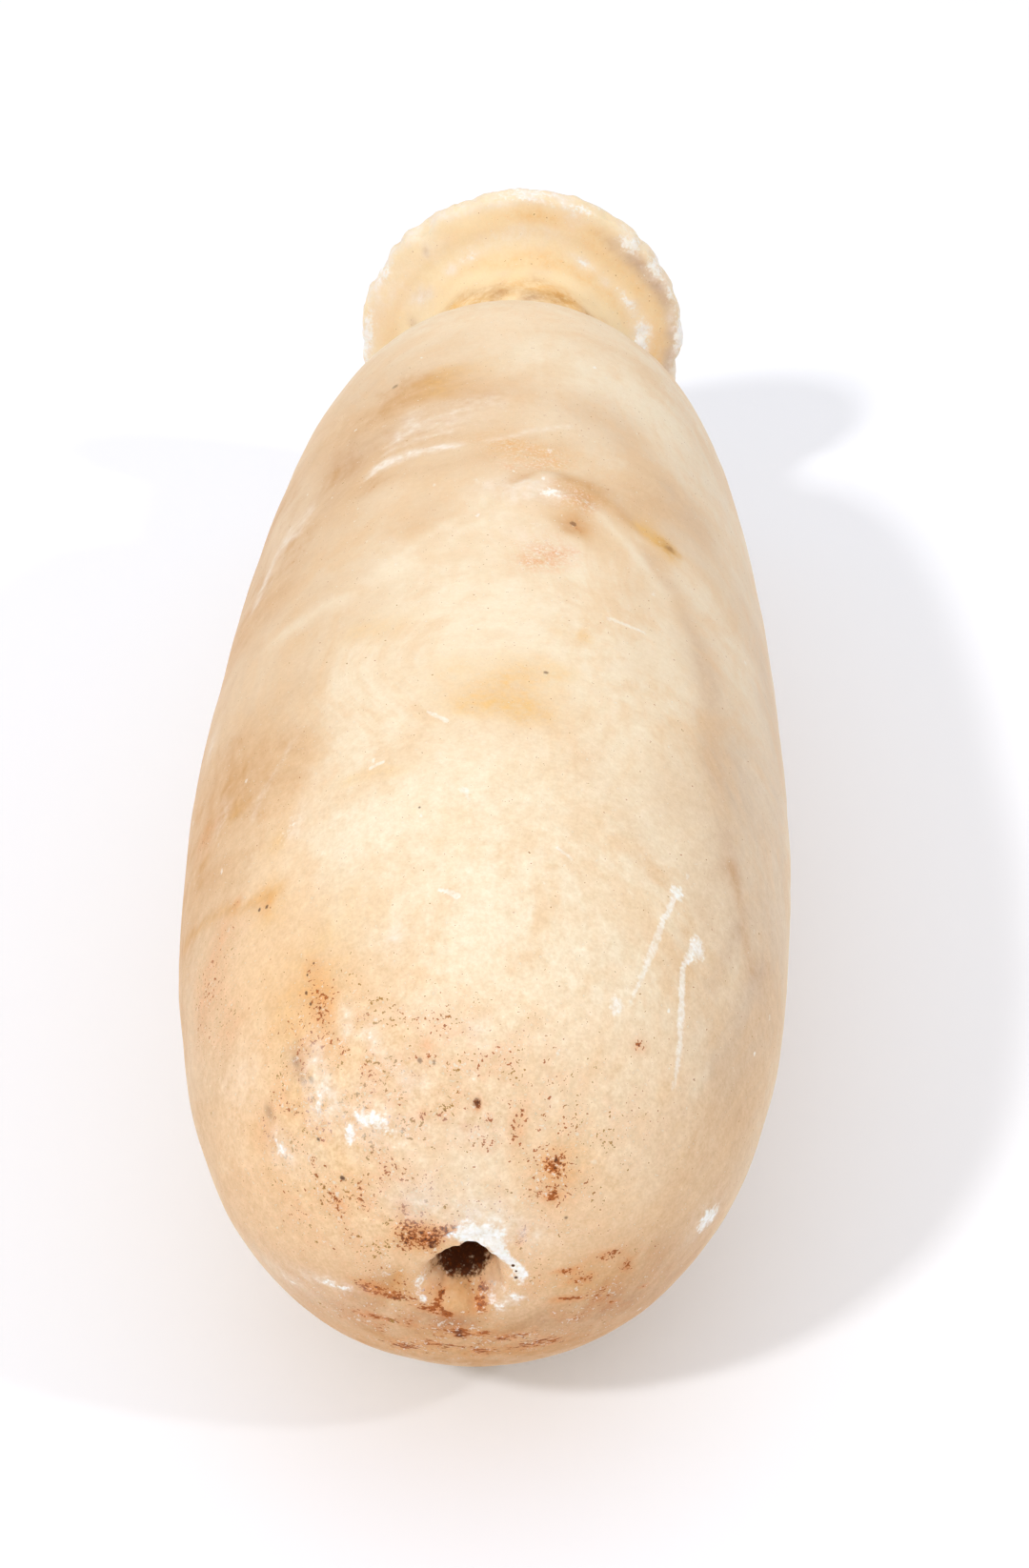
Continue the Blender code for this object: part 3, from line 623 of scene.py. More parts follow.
class Skin:
    """The whole closed skin as rings of points, with where each point lies on the flask."""

    def __init__(self, sizes):
        self.sizes = sizes
        self.axis_height = sizes.body_radius - sizes.flat_depth
        even = np.arange(sizes.columns) * tau / sizes.columns
        self.turns = even - TOP_CROWDING * np.sin(even)
        flat_rings = [self.bore(), self.funnel(), self.outside(), self.hollow()]
        rings = np.concatenate(flat_rings)
        kinds = [np.full(len(part), number) for number, part in enumerate(flat_rings)]
        self.kind = np.concatenate(kinds)[:, None]
        self.across, self.up, self.distance = np.moveaxis(rings, -1, 0)
        self.chip_the_rim()
        self.radius = np.hypot(self.across, self.up)
        self.turn = np.arctan2(self.across, self.up)
        self.points = np.stack([self.across, self.distance - sizes.length / 2,
                                self.up + self.axis_height], axis=-1)
        self.outer = (self.kind == 2) * np.ones_like(self.radius)
        self.warp = [1.1 * MM * self.noise(5, seed) + 0.45 * MM * self.noise(1.6, seed + 1)
                     for seed in (11, 13)]

    def noise(self, width, seed):
        """Smooth noise over the skin, of features about that many mm wide."""
        return waves(self.points, width * MM, seed)

    def past(self, place, length):
        """0 up to a distance from the base, easing to 1 over a length."""
        return smooth((self.distance - place) / length)

    def lip(self):
        """The broken lip of the hole in the base."""
        sizes = self.sizes
        turns = self.turns
        ragged = 1 + 0.06 * (np.sin(3 * turns + 0.6) + 0.5 * np.sin(7 * turns))
        ragged += 0.018 * np.sin(13 * turns + 1) + 0.012 * np.sin(21 * turns + 2)
        return (sizes.funnel_width / 2 * ragged * np.sin(turns),
                sizes.funnel_height / 2 * ragged * np.cos(turns) - sizes.funnel_drop)

    def circle(self, radius, like_lip=0.0):
        """A circle about the axis as (across, up), drawn a share of the way to the lip of the hole."""
        round_shape = radius * np.sin(self.turns), radius * np.cos(self.turns)
        return [plain * (1 - like_lip) + lip * like_lip for plain, lip in zip(round_shape, self.lip())]

    def bore(self):
        """The narrow bore, from the floor of the hollow to the funnel."""
        sizes = self.sizes
        depths = np.linspace(sizes.base_wall, sizes.funnel_depth, BORE_RINGS, endpoint=False)
        return [ring(self.circle(sizes.hole_radius), depth) for depth in depths]

    def funnel(self):
        """The broken funnel, from the bore out to its lip."""
        sizes = self.sizes
        lip_distance = base_distance(sizes, np.hypot(*self.lip()))
        return [ring(self.circle(sizes.hole_radius, share ** FUNNEL_FLARE),
                     sizes.funnel_depth * (1 - share) + lip_distance * share)
                for share in np.linspace(0, 1, FUNNEL_RINGS, endpoint=False)]

    def outside(self):
        """The outside, from the lip of the hole to the edge of the mouth."""
        sizes = self.sizes
        first = sizes.funnel_height / 2
        rings = []
        for radius, distance in spaced(outside_outline(sizes, first), outside_spacing):
            like_lip = 0.0
            if distance < sizes.base_wall:
                like_lip = smooth((3 * first - radius) / (2 * first))
            circle = self.circle(radius, like_lip)
            if like_lip > 0:
                distance = base_distance(sizes, np.hypot(*circle))
            rings.append(ring(circle, distance))
        return rings

    def hollow(self):
        """The inside, from the mouth to the bore in the floor."""
        return [ring(self.circle(radius), distance)
                for radius, distance in spaced(hollow_outline(self.sizes), hollow_spacing)]

    def chip_the_rim(self):
        """Take chips and fine notches out of the rim's edge."""
        sizes = self.sizes
        radius = np.hypot(self.across, self.up)
        turn = np.arctan2(self.across, self.up)
        on_rim = self.past(sizes.length - sizes.rim_edge - 1.5 * MM, MM) * (self.kind == 2)
        near_edge = smooth((radius - sizes.rim_radius + 3 * MM) / (3 * MM)) * on_rim
        edge_place = np.stack([np.sin(turn), np.cos(turn), self.distance * EDGE_NOISE_ALONG], axis=-1)
        edge_place = edge_place * EDGE_NOISE_RADIUS * MM
        depth = 0.07 * MM * waves(edge_place, 1.6 * MM, 31) - 0.2 * MM
        depth += 0.06 * MM * waves(edge_place, 0.8 * MM, 32)
        for place, half_width, chip_depth in RIM_CHIPS:
            offset = np.degrees(turned(turn, place))
            bite = powered(np.cos(0.5 * pi * np.clip(offset / half_width, -1, 1)), 1.3)
            depth += chip_depth * MM * bite * (0.85 + 0.3 * waves(edge_place, 1.2 * MM, 33))
        shrink = 1 - near_edge * depth / radius
        self.across = self.across * shrink
        self.up = self.up * shrink

    def normals(self):
        """Unit normals, pointing out of the stone."""
        along = np.roll(self.points, -1, axis=0) - np.roll(self.points, 1, axis=0)
        around = np.roll(self.points, -1, axis=1) - np.roll(self.points, 1, axis=1)
        cross = np.cross(around, along)
        return cross / np.maximum(np.linalg.norm(cross, axis=-1), 1e-12)[..., None]

    def oval(self, distance, turn, half_length, half_width):
        """1 in the middle of an oval mark on the body, fading past its ragged edge."""
        ahead = self.distance - distance * MM + self.warp[0] * min(1, half_length / 2)
        beside = self.radius * turned(self.turn, turn) + self.warp[1] * min(1, half_width / 2)
        return fading(ahead, half_length, beside, half_width) * self.outer

    def base_oval(self, across, up, half_width, half_height):
        """The same on the face of the base, placed from the axis."""
        beside = self.across - across * MM + 0.3 * self.warp[0]
        above = self.up - up * MM + 0.3 * self.warp[1]
        near = (1 - self.past(12 * MM, 4 * MM)) * (self.kind < 3)
        return fading(beside, half_width, above, half_height) * near

    def rim_oval(self, radius, turn, half_width, half_length):
        """The same on the underside of the rim, placed from the axis."""
        outward = self.radius - radius * MM + 0.25 * self.warp[0]
        beside = self.radius * turned(self.turn, turn) + 0.4 * self.warp[1]
        on_rim = self.past(self.sizes.length - 9 * MM, 2 * MM) * self.outer
        return fading(outward, half_width, beside, half_length) * on_rim

    def place(self, distance, turn):
        """A point on the plain body."""
        radius = float(body_radius_at(self.sizes, distance * MM))
        return np.array([radius * sin(radians(turn)), distance * MM - self.sizes.length / 2,
                         self.axis_height + radius * cos(radians(turn))])

    def line(self, places, half_width):
        """1 along a smooth line through places on the body, fading to both sides."""
        stations = np.linspace(0, len(places) - 1, 10 * len(places))
        route = [np.interp(stations, range(len(places)), column) for column in zip(*places)]
        nearest = np.full(self.radius.shape, np.inf)
        warped = self.points + 0.5 * np.stack([*self.warp, 0 * self.warp[0]], axis=-1)
        for distance, turn in zip(*route):
            gap = np.linalg.norm(warped - self.place(distance, turn), axis=-1)
            nearest = np.minimum(nearest, gap)
        return np.exp(-(nearest / (half_width * MM)) ** 2) * self.outer


def lug_relief(skin):
    """The low boss that is left of the lug, with its broken crest."""
    distance, turn, half_length, half_width = LUG
    ahead = (skin.distance - distance * MM) / (half_length * MM)
    beside = skin.radius * turned(skin.turn, turn) / (half_width * MM)
    boss = smooth(1.25 - np.hypot(ahead, beside)) * skin.outer
    broken = 1 + 0.3 * skin.noise(1.9, 41)
    relief = (0.46 * skin.sizes.lug_height * boss + 0.05 * MM * skin.line(LUG_CREST, 1.3)) * broken
    return relief - 0.1 * MM * skin.oval(*LUG_DENT)


def carve(skin, marks):
    """Move the skin in or out where wear, breaks and crust can be felt."""
    calm = 1 - 0.7 * skin.past(CALM_FROM * MM, 20 * MM)
    depth = 0.15 * MM * skin.noise(17, 1) * calm
    depth += 0.055 * MM * skin.noise(5, 2) + 0.016 * MM * skin.noise(1.8, 3)
    depth += lug_relief(skin)
    depth -= 0.05 * MM * skin.line(VALLEY, 5.0)
    depth += 0.06 * MM * skin.line(LEFT_ARM, 1.7) + 0.04 * MM * skin.line(RIGHT_ARM, 1.2)
    depth -= 0.035 * MM * skin.line(FOLD, 2.0) + 0.025 * MM * skin.line(CREASE, 0.7)
    depth += 0.20 * MM * marks["chalk"] * (0.5 + skin.noise(1.2, 4))
    depth -= 0.10 * MM * powered(marks["rust"], 1.5) * (1 + skin.noise(0.9, 5))
    depth *= skin.outer
    depth += 0.10 * MM * (skin.kind < 2) * skin.noise(1.0, 6)
    moved = skin.points + skin.normals() * depth[..., None]
    moved = worn_lip(skin, moved)
    moved[..., 2] = np.maximum(moved[..., 2], 0)
    return moved


def worn_lip(skin, points):
    """Wear the lip of the hole round, most of all at its sides and below."""
    near = smooth((10 * MM - skin.radius) / (5 * MM)) * (skin.kind > 0) * (skin.kind < 3)
    share = 0.5 * near * (0.03 + 0.97 * smooth((1.8 * MM - skin.up) / (3.5 * MM)))
    for _ in range(LIP_ROUNDS):
        between = (np.roll(points, 1, axis=0) + np.roll(points, -1, axis=0)) / 2
        points = points + (between - points) * share[..., None]
    return points


class Marks(dict):
    """The strength of each kind of mark at the skin's points, from 0 to 1."""

    def lay(self, name, strength):
        """Lay more of a mark over what there is of it."""
        self[name] = 1 - (1 - self.get(name, 0)) * (1 - np.clip(strength, 0, 1))


def stone_marks(skin):
    """Where each kind of stain, crust and dirt lies."""
    marks = Marks()
    sources = ((BODY_OVALS, skin.oval), (BODY_LINES, skin.line), (BASE_OVALS, skin.base_oval),
               (RIM_OVALS, skin.rim_oval))
    for kinds, mark in sources:
        for name, places in kinds.items():
            for *where, strength in places:
                marks.lay(name, strength * mark(*where))
    neck_marks(skin, marks)
    hole_marks(skin, marks)
    marks["grainy"] = (1 - skin.past(GRAINY_TO * MM, 70 * MM)) * skin.outer
    # Painted shade: the inside of the hollow is tinted darker away from the mouth
    marks["hollow"] = (skin.kind == 3) * (1 - skin.past(skin.sizes.length - 30 * MM, 30 * MM))
    return marks


def neck_marks(skin, marks):
    """The gold of neck and rim, dust along the rim's edge and on its face, and the neck's dirt."""
    sizes = skin.sizes
    marks["gold"] = skin.past(NECK_LOOK_FROM * MM, 5 * MM) * skin.outer
    edge = smooth((skin.radius - sizes.rim_radius + 1.3 * MM) / (1.1 * MM)) * marks["gold"]
    face = skin.past(sizes.length - 1.2 * MM, MM) * skin.outer
    line = np.exp(-((skin.distance - NECK_DIRT * MM) / (4 * MM)) ** 2) * skin.outer
    marks.lay("dust", 0.8 * edge * np.clip(0.45 + 0.55 * skin.noise(2.6, 21), 0, 1))
    marks.lay("dust", 0.7 * face * np.clip(skin.noise(4, 25) - 0.2, 0, 1))
    marks.lay("specks", 0.4 * face)
    marks.lay("amber", 0.5 * face * np.clip(skin.noise(6, 24), 0, 1))
    marks.lay("amber", line * (0.7 + 0.4 * skin.noise(3, 22)))
    marks.lay("umber_and_shade", 0.28 * line * (0.7 + 0.6 * skin.noise(2, 23)))


def hole_marks(skin, marks):
    """The painted shade and dirt in the hole in the base, and the dirty wall of its funnel."""
    across, up, half_width, half_height = HOLE_SHADE_AND_DIRT
    inward = skin.distance / MM
    beside = (skin.across / MM - across) / half_width
    above = (skin.up / MM + HOLE_SHADE_SLOPE * inward - up) / half_height
    # Painted shade with dirt: the bore is dark all over, and the funnel's wall inside an oval that slants
    # inward with depth
    dark = np.clip((1.15 - np.hypot(beside, above)) / 0.5, 0, 1)
    marks["hole"] = dark * (skin.kind == 1) + (skin.kind == 0)
    marks["wall"] = (skin.kind == 1) * np.clip(inward - 0.2, 0, 1)


def flask_mesh(sizes):
    """The whole skin as one closed mesh, with its marks stored at its points."""
    skin = Skin(sizes)
    marks = stone_marks(skin)
    points = carve(skin, marks)
    rings, columns = skin.radius.shape
    numbers = np.arange(rings * columns).reshape(rings, columns)
    steps = ((0, 0), (0, -1), (-1, -1), (-1, 0))
    faces = np.stack([np.roll(numbers, step, (0, 1)).ravel() for step in steps], axis=-1)
    mesh = bpy.data.meshes.new("alabastron_skin")
    mesh.from_pydata(points.reshape(-1, 3).tolist(), [], faces.tolist())
    for name, strength in marks.items():
        layer = mesh.attributes.new(name, "FLOAT", "POINT")
        layer.data.foreach_set("value", strength.ravel().astype(np.float32))
    mesh.validate()
    mesh.shade_smooth()
    return mesh


def both_ways(operation):
    """One of Python's operators for a Signal, and its reflected form."""
    return (lambda signal, other: signal.combine(operation, signal, other),
            lambda signal, other: signal.combine(operation, other, signal))


class Signal:
    """A shader socket. Python's operators on it add Math or Vector Math nodes."""
    __add__, __radd__ = both_ways("ADD")
    __sub__, __rsub__ = both_ways("SUBTRACT")
    __mul__, __rmul__ = both_ways("MULTIPLY")

    def __init__(self, finish, socket):
        self.finish = finish
        self.socket = socket

    def combine(self, operation, *values):
        """One Math node on numbers, or one Vector Math node on vectors and colours."""
        kind = "ShaderNodeMath"
        if self.socket.type != "VALUE":
            kind = "ShaderNodeVectorMath"
            values = [(value,) * 3 if isinstance(value, (int, float)) else value for value in values]
        return self.finish.node(kind, {"operation": operation}, dict(enumerate(values)))[0]

    def most(self, other):
        """The larger of two numbers."""
        return self.combine("MAXIMUM", self, other)

    def ease(self, low, high):
        """0 at low and 1 at high, eased between them."""
        sockets = {"Value": self, "From Min": low, "From Max": high}
        return self.finish.node("ShaderNodeMapRange", {"interpolation_type": "SMOOTHSTEP"}, sockets)[0]


class Outputs:
    """A node's outputs, each read as a Signal by its name or number."""

    def __init__(self, finish, node):
        self.finish = finish
        self.node = node

    def __getitem__(self, key):
        return Signal(self.finish, self.node.outputs[key])


class Finish:
    """A node tree being filled in, for a material or for the surroundings."""

    def __init__(self, tree, shader):
        self.tree = tree
        self.shader = tree.nodes[shader]

    def feed(self, node, sockets):
        """Set a node's sockets, or link them where the value is a Signal."""
        for key, value in sockets.items():
            if isinstance(value, Signal):
                self.tree.links.new(value.socket, node.inputs[key])
            else:
                node.inputs[key].default_value = value

    def node(self, kind, settings=None, sockets=None):
        """Add a node: its settings first, then the values or links of its sockets."""
        made = self.tree.nodes.new(kind)
        for key, value in (settings or {}).items():
            setattr(made, key, value)
        self.feed(made, sockets or {})
        return Outputs(self, made)

    def vector(self, operation, sockets):
        """Add a Vector Math node."""
        return self.node("ShaderNodeVectorMath", {"operation": operation}, sockets)

    def noise(self, place, width, detail, roughness):
        """Cloudy noise from 0 to 1, of features about that wide."""
        sockets = {"Vector": place, "Scale": 0.5 / width, "Detail": detail, "Roughness": roughness}
        return self.node("ShaderNodeTexNoise", {}, sockets)["Fac"]

    def swirl(self, place, scale):
        """Cloudy noise as a way in space, to bend other noise with."""
        sockets = {"Vector": place, "Scale": scale, "Detail": 1.0}
        return self.node("ShaderNodeTexNoise", {}, sockets)["Color"]

    def blend(self, below, above, share):
        """One colour over another by a share."""
        settings = {"data_type": "RGBA", "clamp_factor": True}
        return self.node("ShaderNodeMix", settings, {0: share, 6: below, 7: above})[2]

    def mark(self, name):
        """A strength stored at the skin's points."""
        return self.node("ShaderNodeAttribute", {"attribute_name": name})["Fac"]

    def specks(self, place, gap, share, smallest, largest):
        """Small round grains strewn through the stone, and a random number for each."""
        cells = self.node("ShaderNodeTexVoronoi", {"feature": "F1"}, {"Vector": place, "Scale": 1 / gap})
        chance = self.node("ShaderNodeSeparateColor", {}, {"Color": cells["Color"]})
        radius = (chance["Green"] * (largest - smallest) + smallest) * (1 / gap)
        grain = cells["Distance"].ease(radius, radius * 0.55)
        there = self.node("ShaderNodeMath", {"operation": "LESS_THAN"}, {0: chance["Red"], 1: share})[0]
        return grain * there, chance["Blue"]


def new_object(context, name, data):
    """An object in the scene, for a mesh, a lamp or a camera."""
    made = bpy.data.objects.new(name, data)
    context.collection.objects.link(made)
    return made


def new_material(name):
    """A material with its Principled shader."""
    material = bpy.data.materials.new(name)
    material.use_nodes = True
    return material


def unrolled(finish, place, sizes):
    """The body unrolled, as mm from the base and mm round from the top, and the base seen square on."""
    parts = finish.node("ShaderNodeSeparateXYZ", {}, {0: place})
    distance = parts["Y"] + sizes.length / 2 / MM
    height = parts["Z"] - (sizes.body_radius - sizes.flat_depth) / MM
    turn = finish.node("ShaderNodeMath", {"operation": "ARCTAN2"}, {0: parts["X"], 1: height})[0]
    body = finish.node("ShaderNodeCombineXYZ", {}, {0: distance, 1: turn * (sizes.body_radius / MM)})[0]
    past_base = (distance - 16).most(0.0)
    base = finish.node("ShaderNodeCombineXYZ", {}, {0: parts["X"], 1: height, 2: past_base})[0]
    return body, base


def dots(spots):
    """Spots as scrapes that have one place each."""
    return [([(along, across)], radius, radius, strength) for along, across, radius, strength in spots]


def rolled_out(scrapes, around):
    """Scrapes on the body, their degrees from the top made into mm round it."""
    return [([(distance, radians(turn) * around) for distance, turn in places], *rest)
            for places, *rest in scrapes]


def scrape(finish, flat, places, start_width, end_width, fray):
    """1 inside a scrape, fading past its frayed edge. With one place it is a spot."""
    start, *rest = [Vector((*where, 0)) for where in places]
    from_start = flat - tuple(start)
    width = start_width
    if rest:
        way = rest[0] - start
        dot = finish.vector("DOT_PRODUCT", {0: from_start, 1: way / way.length_squared})["Value"]
        share = finish.node("ShaderNodeClamp", {}, {"Value": dot})[0]
        from_start = from_start - finish.vector("SCALE", {0: way, "Scale": share})[0]
        if end_width != start_width:
            width = share * (end_width - start_width) + start_width
    gap = finish.vector("LENGTH", {0: from_start})["Value"]
    return (width * 1.5 - gap + fray * start_width).ease(0, start_width)


def strongest(finish, flat, scrapes, fray):
    """Many scrapes together."""
    masks = [scrape(finish, flat, *line, fray) * strength for *line, strength in scrapes]
    return reduce(Signal.most, masks)


class Noises:
    """The noises that the stone and its marks share. Their widths are in millimetres."""

    def __init__(self, finish):
        self.place = finish.node("ShaderNodeTexCoord")["Object"] * (1 / MM)
        bent = self.place + finish.swirl(self.place, 0.035) * 26
        self.jittered = self.place + finish.swirl(self.place, 3.0) * 0.5
        self.crumbs = finish.noise(self.place, 0.19, 2, 0.65)
        self.grain = finish.noise(self.place, 0.5, 2, 0.65)
        self.mottle = finish.noise(bent, 2.2, 3, 0.62)
        self.clouds = finish.noise(bent, 8.0, 2, 0.55)
        self.veins = finish.noise(bent * (1, 0.17, 1), 0.9, 3, 0.62)
        self.ragged = (self.mottle * 0.6 + self.veins * 0.4 - 0.5) * 2.6 + 1
        self.rough_edge = (self.mottle * 0.5 + self.grain * 0.5 - 0.5) * 4.5 + 1
        self.fray = (self.grain + self.crumbs * 0.6 - 0.8) * 1.8


def stained_stone(finish, colours, noises):
    """Clouded cream stone under its broad stains and painted shade, from the lowest layer up."""
    mottle, grain = noises.mottle, noises.grain
    light = (noises.clouds * 0.42 + mottle * 0.33 + noises.veins * 0.25).ease(0.41, 0.59)
    gold = finish.blend(colours.gold, colours.pale, mottle.ease(0.50, 0.72) * 0.6)
    layers = (
        # Painted shade: the tan layer also darkens the valley, the fold, the crease, the lug's crest and
        # a place under a scratch
        ("tan", colours.tan, noises.ragged), ("peach", colours.peach, 1),
        ("ochre", colours.ochre, noises.rough_edge), ("pale", colours.pale, noises.ragged),
        ("gold", gold, 0.94), ("amber", colours.amber, noises.rough_edge * 0.8),
        # Painted shade: the umber layer also darkens the lower base
        ("grey", colours.grey, noises.ragged), ("umber_and_shade", colours.umber_and_shade, noises.rough_edge),
        # Painted shade: the hollow layer darkens the inside away from the mouth
        ("wall", colours.tan, grain.ease(0.35, 0.65) * 0.4 + 0.05), ("hollow", colours.ochre, 0.5),
        ("sugar", colours.orange, (grain - 0.28) * 1.9),
        ("sugar", colours.dust, (noises.crumbs - 0.5) * 7),
    )
    skin = finish.blend(colours.cream, colours.pale, light)
    for mark, tint, strength in layers:
        skin = finish.blend(skin, tint, finish.mark(mark) * strength)
    return skin


def rusted(finish, colours, noises, skin, rust_at, strewn):
    """The skin under rust and grains, and where the grains are."""
    crumbs = noises.crumbs
    drawn_out = finish.noise(noises.place * (0.4, 1, 1.2), 0.17, 3, 0.68)
    grit = finish.node("ShaderNodeMix", {"data_type": "FLOAT"},
                       {0: finish.mark("streaks"), 2: crumbs, 3: drawn_out})[0]
    thick = grit + (strewn * 0.132).most(rust_at.ease(0.0, 0.75) * 0.25)
    grains = thick.ease(0.70, 0.74)
    skin = finish.blend(skin, colours.orange, (rust_at * 0.75).most(strewn * 0.2) * noises.rough_edge)
    skin = finish.blend(skin, colours.rust, rust_at.ease(0.4, 1.0) * (crumbs - 0.34) * 2.8)
    rusty = (noises.mottle + rust_at * 0.4).ease(0.47, 0.56)
    dark = (thick + rust_at * 0.04).ease(0.81, 0.92)
    tint = finish.blend(finish.blend(colours.olive, colours.rust, rusty), colours.dark_rust, dark)
    skin = finish.blend(skin, tint, grains * 0.9)
    large, kind = finish.specks(noises.jittered, 1.1, strewn * 0.14 + 0.0015, 0.08, 0.2)
    tint = finish.blend(colours.olive, colours.rust, kind.ease(0.35, 0.45))
    return finish.blend(skin, tint, large * 0.7), grains


def spots_and_scrapes(finish, noises, sizes):
    """Where the single spots and the white scrapes are."""
    body, base = unrolled(finish, noises.place, sizes)
    around = sizes.body_radius / MM
    on_body = strongest(finish, body, rolled_out(dots(BODY_SPOTS), around), noises.fray)
    on_base = strongest(finish, base, dots(BASE_SPOTS), noises.fray)
    scrapes = strongest(finish, body, rolled_out(STROKES, around), noises.fray)
    return on_body.most(on_base), scrapes * ((noises.crumbs + noises.veins - 0.7) * 1.2 + 0.6)


def whitened(finish, colours, noises, skin, chalk_at, strewn, spots, scrapes):
    """The skin under dust, white crust, scrapes and flecks, and where it is white."""
    grain, crumbs = noises.grain, noises.crumbs
    flecks, fleck_kind = finish.specks(noises.jittered * (1, 0.6, 1), 1.7, 0.1, 0.08, 0.32)
    chalk = (chalk_at * 1.25 + (grain - 0.5) * 1.2 + (crumbs - 0.5) * 1.2).ease(0.34, 1.0)
    pinpoints = (strewn * 0.09 - crumbs + 0.31).ease(0, 0.03)
    white = chalk.most(scrapes).most(pinpoints * 0.6).most(flecks * fleck_kind * 0.75)
    dust = finish.mark("dust") * ((grain - 0.5) * 2 + (noises.veins - 0.5) * 2 + 0.85)
    skin = finish.blend(skin, colours.dust, dust)
    return finish.blend(skin, colours.chalk, white * (1 - spots)), white


def worn_stone(sizes, colours):
    """Cream alabaster: clouded and veined stone, its stains, rust, crust, specks and dirt, and the
    painted shade and highlight that some of its marks carry.
    """
    material = new_material("worn_alabaster")
    finish = Finish(material.node_tree, "Principled BSDF")
    noises = Noises(finish)
    crumbs, grain, mottle = noises.crumbs, noises.grain, noises.mottle
    rust_at, specked, chalk_at = (finish.mark(name) for name in ("rust", "specks", "chalk"))
    strewn = specked.ease(0.0, 0.8) * finish.noise(noises.place, 1.4, 2, 0.6).ease(0.36, 0.60)
    spots, scrapes = spots_and_scrapes(finish, noises, sizes)
    skin = stained_stone(finish, colours, noises)
    skin, grains = rusted(finish, colours, noises, skin, rust_at, strewn)
    skin = finish.blend(skin, colours.brown, spots * 0.9)
    skin, white = whitened(finish, colours, noises, skin, chalk_at, strewn, spots, scrapes)

    # Painted shade with dirt: the hole's dark mark and the noise of its wall darken the bore and the
    # funnel
    inside = (grain + crumbs - 1) * 1.4 * finish.mark("wall").most(0.2)
    hole_dirt_and_shade = (finish.mark("hole") + inside).ease(0.2, 0.85)
    soil_and_shade = finish.blend(colours.soil_and_shade, colours.rust, crumbs.ease(0.5, 0.75) * 0.4)
    skin = finish.blend(skin, soil_and_shade, hole_dirt_and_shade)
    gritty = (grain + crumbs - 1) * (specked * 0.3 + finish.mark("grainy") * 0.2 + 0.12)
    warm_grit = {0: gritty, 1: (0.7, 1.0, 1.5), 2: (0.945, 0.945, 0.945)}
    skin = skin * finish.vector("MULTIPLY_ADD", warm_grit)[0]

    roughness = white * 0.25 + hole_dirt_and_shade * 0.3 + mottle * 0.16 + grains * 0.2 + 0.5
    stone_height = crumbs * 0.2 + grain * 0.3 + noises.veins * 0.35 + mottle * 0.4
    height = stone_height + chalk_at * 0.5 - rust_at * crumbs * 0.8
    bump = {"Strength": 0.6, "Distance": 0.07 * MM, "Height": height}
    finish.feed(finish.shader, {
        "Base Color": skin, "Roughness": roughness, "Normal": finish.node("ShaderNodeBump", {}, bump)[0],
        "IOR": 1.5, "Specular IOR Level": 0.3,
        "Subsurface Weight": 0.15, "Subsurface Radius": (1.0, 0.6, 0.34), "Subsurface Scale": 2.0 * MM,
    })
    return material


def plain_floor(settings):
    """A matt pale floor."""
    material = new_material("pale_floor")
    finish = Finish(material.node_tree, "Principled BSDF")
    finish.feed(finish.shader, {"Base Color": settings.floor, "Roughness": 0.8})
    return material


class ALABASTRON_OT_flask(bpy.types.Operator):
    """Carve and stain the flask's skin, which stands for the plain solid"""
    bl_idname = "alabastron.flask"
    bl_label = "Flask"

    def execute(self, context):
        settings = context.scene
        mesh = flask_mesh(settings.flask_sizes)
        mesh.materials.append(worn_stone(settings.flask_sizes, settings.flask_colours))
        flask = new_object(context, "alabastron_skin", mesh)
        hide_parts("alabastron")
        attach(flask, BODY)
        return {"FINISHED"}


class ALABASTRON_OT_stage(bpy.types.Operator):
    """Set the floor, the lights and the camera"""
    bl_idname = "alabastron.stage"
    bl_label = "Stage"

    def execute(self, context):
        settings = context.scene.flask_stage
        lay_floor(context, settings)
        for lamp in LAMPS:
            hang_lamp(context, *lamp)
        surround(context, settings)
        place_camera(context)
        context.scene.view_settings.view_transform = "Standard"
        return {"FINISHED"}


def lay_floor(context, settings):
    """The floor that the flask lies on."""
    half = settings.floor_width / 2
    mesh = bpy.data.meshes.new("floor")
    corners = [(-half, -half, 0), (half, -half, 0), (half, half, 0), (-half, half, 0)]
    mesh.from_pydata(corners, [], [range(4)])
    mesh.materials.append(plain_floor(settings))
    new_object(context, "floor", mesh)


def hang_lamp(context, name, travel, distance, width, power, tint):
    """A square soft lamp that shines along a way of travel at the middle of the flask."""
    light = bpy.data.lights.new(name, "AREA")
    light.shape = "SQUARE"
    light.size = width
    light.energy = power
    light.color = tint
    lamp = new_object(context, name, light)
    way = Vector(travel).normalized()
    lamp.location = Vector((0, 0, HIGH[2] / 2)) - way * distance
    lamp.rotation_euler = way.to_track_quat("-Z", "Y").to_euler()


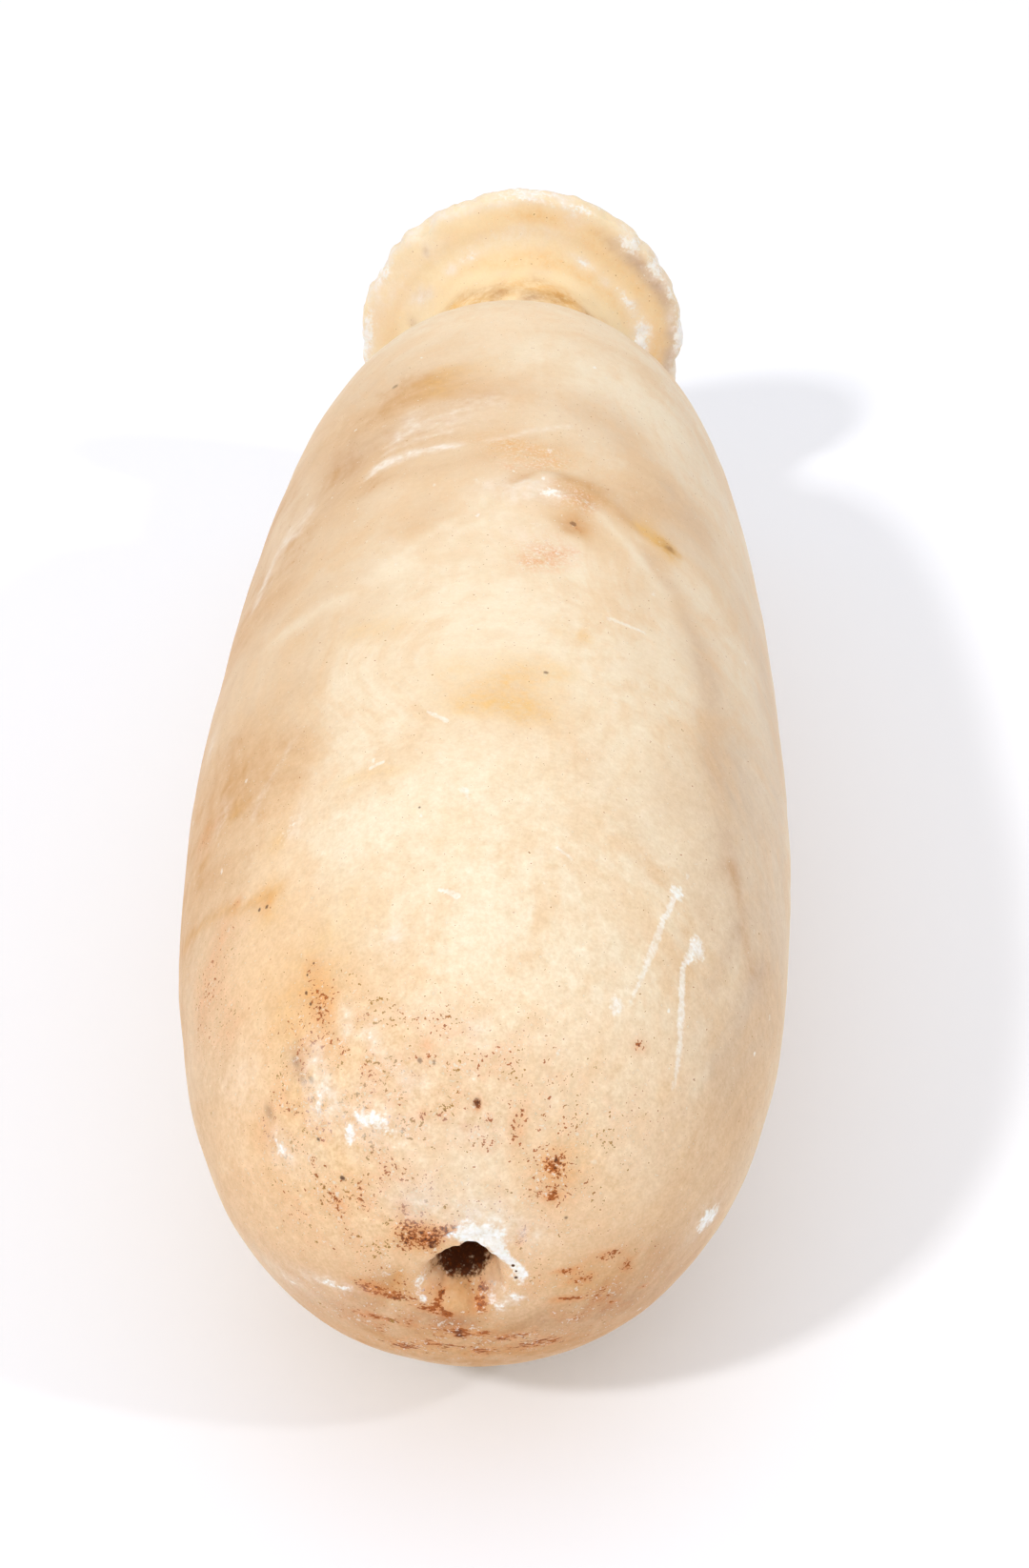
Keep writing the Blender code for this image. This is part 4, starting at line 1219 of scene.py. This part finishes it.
def surround(context, settings):
    """Soft light from overhead and from low down all round, stronger behind the flask."""
    world = bpy.data.worlds.new("surroundings")
    world.use_nodes = True
    sky = Finish(world.node_tree, "Background")
    way = sky.node("ShaderNodeTexCoord")["Generated"]
    parts = sky.node("ShaderNodeSeparateXYZ", {}, {0: way})
    behind = parts["Y"] * 0.5 + 0.5
    strength = (parts["Z"].most(0.0) * (behind * 0.2 + 0.9) * settings.overhead_light
                + (behind * 0.9 + 0.1) * settings.level_light)
    sky.feed(sky.shader, {"Color": settings.sky, "Strength": strength})
    context.scene.world = world


def place_camera(context):
    """The camera, placed from the middle of the base, with the lens that frames the flask."""
    camera = bpy.data.cameras.new("camera")
    camera.sensor_width = SENSOR
    camera.lens = FOCAL_PIXELS / PICTURE_HEIGHT * SENSOR
    camera.clip_start = 0.01
    holder = new_object(context, "camera", camera)
    sizes = context.scene.flask_sizes
    base_middle = Vector((0, -HIGH[1], sizes.body_radius - sizes.flat_depth))
    holder.location = base_middle + Vector(CAMERA_OFFSET)
    holder.rotation_euler = (radians(90 - CAMERA_DOWN), 0, radians(CAMERA_TURN))
    context.scene.camera = holder


class ALABASTRON_PT_panel(bpy.types.Panel):
    """The flask's pieces, sizes and colours"""
    bl_idname = "ALABASTRON_PT_panel"
    bl_label = "Alabastron"
    bl_space_type = "VIEW_3D"
    bl_region_type = "UI"
    bl_category = "Alabastron"

    def draw(self, context):
        for operator in OPERATORS:
            self.layout.operator(operator.bl_idname)
        for name, group in GROUPS.items():
            box = self.layout.box()
            for setting in group.__annotations__:
                box.prop(getattr(context.scene, name), setting)


GROUPS = {"flask_sizes": FlaskSizes, "flask_colours": FlaskColours, "flask_stage": StageSettings}
OPERATORS = (ALABASTRON_OT_flask, ALABASTRON_OT_stage)
CLASSES = (*GROUPS.values(), *OPERATORS, ALABASTRON_PT_panel)


def register():
    """Make the operators, the panel and the settings known to Blender."""
    for each in CLASSES:
        bpy.utils.register_class(each)
    for name, group in GROUPS.items():
        setattr(bpy.types.Scene, name, PointerProperty(type=group))


def unregister():
    """Take them away again."""
    for name in GROUPS:
        delattr(bpy.types.Scene, name)
    for each in reversed(CLASSES):
        bpy.utils.unregister_class(each)


def main():
    """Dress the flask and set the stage."""
    register()
    bpy.ops.alabastron.flask()
    bpy.ops.alabastron.stage()


if __name__ == "__main__":
    main()
